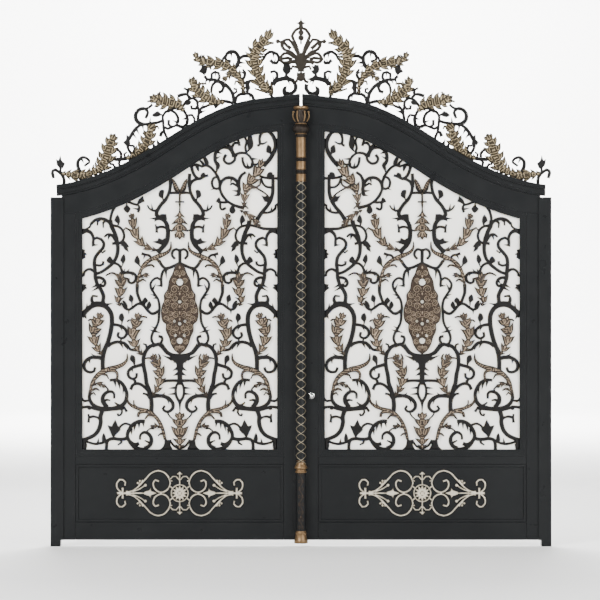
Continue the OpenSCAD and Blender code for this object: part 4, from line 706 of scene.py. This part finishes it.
core = raised([(0.032, 0), (0.034, 0.006), (0.035, 0.022)], capital)
core += ring_profile(0.038, capital + 0.062, 0.034, 0.0225)
core += raised([(0.036, 0.102), (0.036, 0.112), (0.044, 0.122), (0.049, 0.140), (0.047, 0.158),
                (0.040, 0.176), (0.034, 0.192), (0.034, 0.200)], capital)
column_piece("capital_core", core, dark_bronze, gadroons, ("column_capital",))
column_piece("capital_rim", rounded_profile(raised(
    [(0.034, 0.198), (0.044, 0.201), (0.054, 0.207), (0.0545, 0.219), (0.049, 0.2245),
     (0.0, 0.2245)], capital)), sleeve_bronze)
for name, height in (("torus_ring_low", 0.027), ("torus_ring_high", 0.0985)):
    column_piece(name, ring_profile(0.0365, capital + height, 0.0045, 0.006), sleeve_bronze)

STALK = 0.55            # share of a volute that climbs before it curls over
paths = []
for k in range(6):
    a = FULL_TURN * k / 6
    path = []
    for i in range(22):
        t = i / 21
        if t < STALK:
            f = t / STALK
            r = 0.040 + 0.018 * math.sin(math.pi * 0.75 * f)
            z = capital + 0.115 + 0.062 * f
        else:
            f = (t - STALK) / (1 - STALK)
            b = 0.4 + 4.6 * f
            tight = 0.0085 * (1 - 0.7 * f)
            r = 0.0505 + tight * math.sin(b + 0.2)
            z = capital + 0.1770 + tight * (1 - math.cos(b))
        path.append((on_column(r, a, z), 0.0042 * (1 - 0.45 * t)))
    if path[0][0][1] < stop_y:
        paths.append(path)
verts, faces = swept(paths)
verts = [(x, min(y, stop_y), z) for x, y, z in verts]
piece("capital_volutes", verts, faces, sleeve_bronze, "left_leaf", 50.0,
      [0.8] * len(verts))

# Three fluted sleeves with two dark rings in each gap between them, measured from the top.
SLEEVES = ((0.0, 0.144), (0.172, 0.230), (0.262, 0.316))
down = (sleeve_high.z - sleeve_low.z) / SLEEVES[-1][1]
NECK, LIP, WALL = 0.0318, 0.0362, 0.0348


def fluted(a, z, r):
    # The second value is painted light: flute crests coloured lighter than the hollows between
    # them.
    wave = 0.5 + 0.5 * math.cos(24 * a)
    return r - 0.0006 * (1 - wave), 0.35 + 0.3 * wave


for n, (top, foot) in enumerate(SLEEVES):
    high_z, low_z = sleeve_high.z - top * down, sleeve_high.z - foot * down
    column_piece("sleeve_%d" % (n + 1), rounded_profile(
        [(NECK, low_z), (LIP, low_z), (LIP, low_z + 0.006), (WALL, low_z + 0.0075),
         (WALL, high_z - 0.0075), (LIP, high_z - 0.006), (LIP, high_z), (NECK, high_z)],
        0.0012, 3), sleeve_bronze, shape=fluted, replaces=("column_sleeves",) if n == 0 else ())
    if n:
        gap = sleeve_high.z - SLEEVES[n - 1][1] * down - high_z
        for quarter in (1, 3):
            column_piece("neck_ring_%d_%d" % (n, quarter),
                         ring_profile(NECK, high_z + gap * quarter / 4, gap * 0.2, 0.0045),
                         dark_bronze)

# The lattice: two wires of each hand, which pass over and under each other.
TURN_HEIGHT = 0.128
lattice_height = sleeve_low.z - collar_z
count = int(lattice_height / TURN_HEIGHT * 20)
strands = []
for hand in (1, -1):
    for strand in range(2):
        path = []
        for k in range(count + 1):
            up = lattice_height * k / count
            turns = FULL_TURN * up / TURN_HEIGHT
            a = -math.pi / 2 + hand * turns + math.pi * strand
            r = 0.0335 + 0.0011 * math.cos(2 * turns) * hand
            path.append((on_column(r, a, collar_z + up), 0.0021))
        strands.append(path)
verts, faces = swept(strands, 7)
piece("column_lattice", verts, faces, wire_bronze, "left_leaf", 60.0,
      [0.55] * len(verts))
column_piece("column_collar", rounded_profile(raised(
    [(0.034, 0.062), (0.036, 0.060), (0.031, 0.054), (0.034, 0.034), (0.046, 0.012),
     (0.047, 0.004), (0.036, -0.002), (0.036, -0.012), (0.0415, -0.016), (0.0415, -0.026),
     (0.034, -0.030)], collar_z))[::-1], sleeve_bronze)

CARVED = 0.0348         # radius of the carved shaft's ground
RELIEF = 0.0022
WAVE = 0.11             # height of one S of the vine
ROSETTE = 0.10          # height of its middle over the shaft's foot


def carving(a, z, r):
    """Low relief of an S-shaped vine between rings, with a rosette near its foot."""
    up = z - carved_low.z
    x = ((a + math.pi / 2 + math.pi) % FULL_TURN - math.pi) * 0.0345    # 0 at the street side
    vine = abs(x - 0.010 * math.sin(FULL_TURN * up / WAVE))
    high = math.exp(-(vine / 0.0028) ** 2)
    cell = up % (WAVE / 2) - WAVE / 4
    for sign in (-1, 1):
        d = math.hypot(x + sign * 0.0125, cell * 0.8)
        high = max(high, math.exp(-((d - 0.0075) / 0.0022) ** 2))
    petal = 0.010 * (0.75 + 0.25 * math.cos(8 * math.atan2(up - ROSETTE, x)))
    d = math.hypot(x, up - ROSETTE)
    if d < 0.016:
        high = 1.0 if d < petal else 0.1
    t = up / carved_height
    high *= max(min(1.0, t / 0.06, (1 - t) / 0.12), 0)      # it fades out at both ends
    # The carving's height also sets its colour: a painted highlight on the raised vine, rings
    # and rosette.
    return r + RELIEF * high, high


CARVED_ROWS = 200
column_piece("column_carving", [(CARVED, carved_low.z + carved_height * k / CARVED_ROWS)
                                for k in range(CARVED_ROWS + 1)], dark_bronze,
             carving, around=144)
bell = raised([(0.046, 0), (0.0495, 0.002), (0.0495, 0.018), (0.0455, 0.026), (0.041, 0.044),
               (0.0385, 0.062), (0.0405, 0.068), (0.0405, 0.076), (0.037, 0.080)], base_low.z)
column_piece("column_bell", rounded_profile(bell + [(0.036, base_high.z)], 0.003),
             sleeve_bronze, replaces=("column_base",))

# ---------------------------------------------------------------- knob and hinges
knob_low, knob_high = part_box("right_lock_knob")
knob_x, knob_z = (knob_low.x + knob_high.x) / 2, (knob_low.z + knob_high.z) / 2
BALL = 0.0185           # the ball's radius
ball_out = knob_high.y - knob_low.y - BALL
# Radius and distance out of the stile: a rose, a neck and the ball.
profile = [(0.0225, 0.0), (0.023, 0.001), (0.0225, 0.003), (0.020, 0.0045), (0.011, 0.0055),
           (0.0085, 0.008), (0.0078, 0.014)]
profile += [(BALL * math.sin(b), ball_out - BALL * math.cos(b))
            for b in (0.45 + (math.pi - 0.47) * k / 22 for k in range(23))]
angles = [FULL_TURN * k / 64 for k in range(64)]
verts = [(knob_x + r * math.cos(a), knob_high.y - out, knob_z + r * math.sin(a))
         for r, out in profile for a in angles]
piece("lock_knob", verts, stacked(len(profile), len(angles)), chrome, "right_leaf",
      60.0, replaces=("right_lock_knob",))
for side in SIDES:
    softened(side + "_post_hinges", "posts", iron, 0.0012)
    softened(side + "_leaf_hinges", BODY[side], iron, 0.0012)

# CAD nodes that no piece replaces: the column's plain shafts.
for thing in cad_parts.values():
    if not thing.hide_render:
        thing.data.materials.clear()
        thing.data.materials.append(iron)

# ---------------------------------------------------------------- camera, floor and lights
middle_x = (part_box("left_post")[0].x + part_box("right_post")[1].x) / 2
camera = placed("camera", bpy.data.cameras.new("camera"))
camera.data.lens = 140
camera.data.sensor_width = 36
camera.data.clip_end = 200
camera.location = (middle_x - 0.007, -16.8, 1.771)
camera.rotation_euler = (math.radians(90), 0, 0)
bpy.context.scene.camera = camera

# A pale floor that sweeps up into a wall behind the gate.
BEND, WALL_Y = 4.0, 25.0
bend = [(WALL_Y - BEND + BEND * math.sin(a), BEND - BEND * math.cos(a))
        for a in (math.pi / 2 * k / 24 for k in range(25))]
profile = [(-40.0, 0.0)] + bend + [(WALL_Y, 30.0)]
verts = [(x, y, z) for y, z in profile for x in (-40.0, 44.0)]
faces = [(2 * i, 2 * i + 1, 2 * i + 3, 2 * i + 2) for i in range(len(profile) - 1)]
mesh = bpy.data.meshes.new("floor")
mesh.from_pydata(verts, [], faces)
mesh.shade_smooth()
paper = Shader("studio_paper", Roughness=0.85, Specular_IOR_Level=0.2)
paper.colour(paper.ramp(paper.noise(0.6, 2.0), (0.3, (0.86, 0.86, 0.85)),
                        (0.7, (0.88, 0.88, 0.87))))
mesh.materials.append(paper.mat)
placed("floor", mesh)


def area_light(name, place, aim, size, power):
    data = bpy.data.lights.new(name, "AREA")
    data.shape = "RECTANGLE"
    data.size, data.size_y = size
    data.energy = power
    lamp = placed(name, data)
    lamp.location = place
    lamp.rotation_euler = (Vector(aim) - Vector(place)).to_track_quat("-Z", "Y").to_euler()


area_light("key", (-6, -11, 9), (1.7, 0, 1.7), (5, 5), 3400)
area_light("fill", (10, -10, 5), (1.7, 0, 1.5), (6, 6), 1800)
area_light("through", (1.8, 5.0, 7.5), (1.8, 0, 1.8), (6, 3), 1800)
area_light("back", (1.8, 14.0, 10.0), (1.8, WALL_Y, 1.0), (16, 4), 17000)
world = bpy.data.worlds.new("studio")
world.use_nodes = True
world.node_tree.nodes["Background"].inputs["Color"].default_value = (1, 1, 1, 1)
world.node_tree.nodes["Background"].inputs["Strength"].default_value = 0.5
bpy.context.scene.world = world
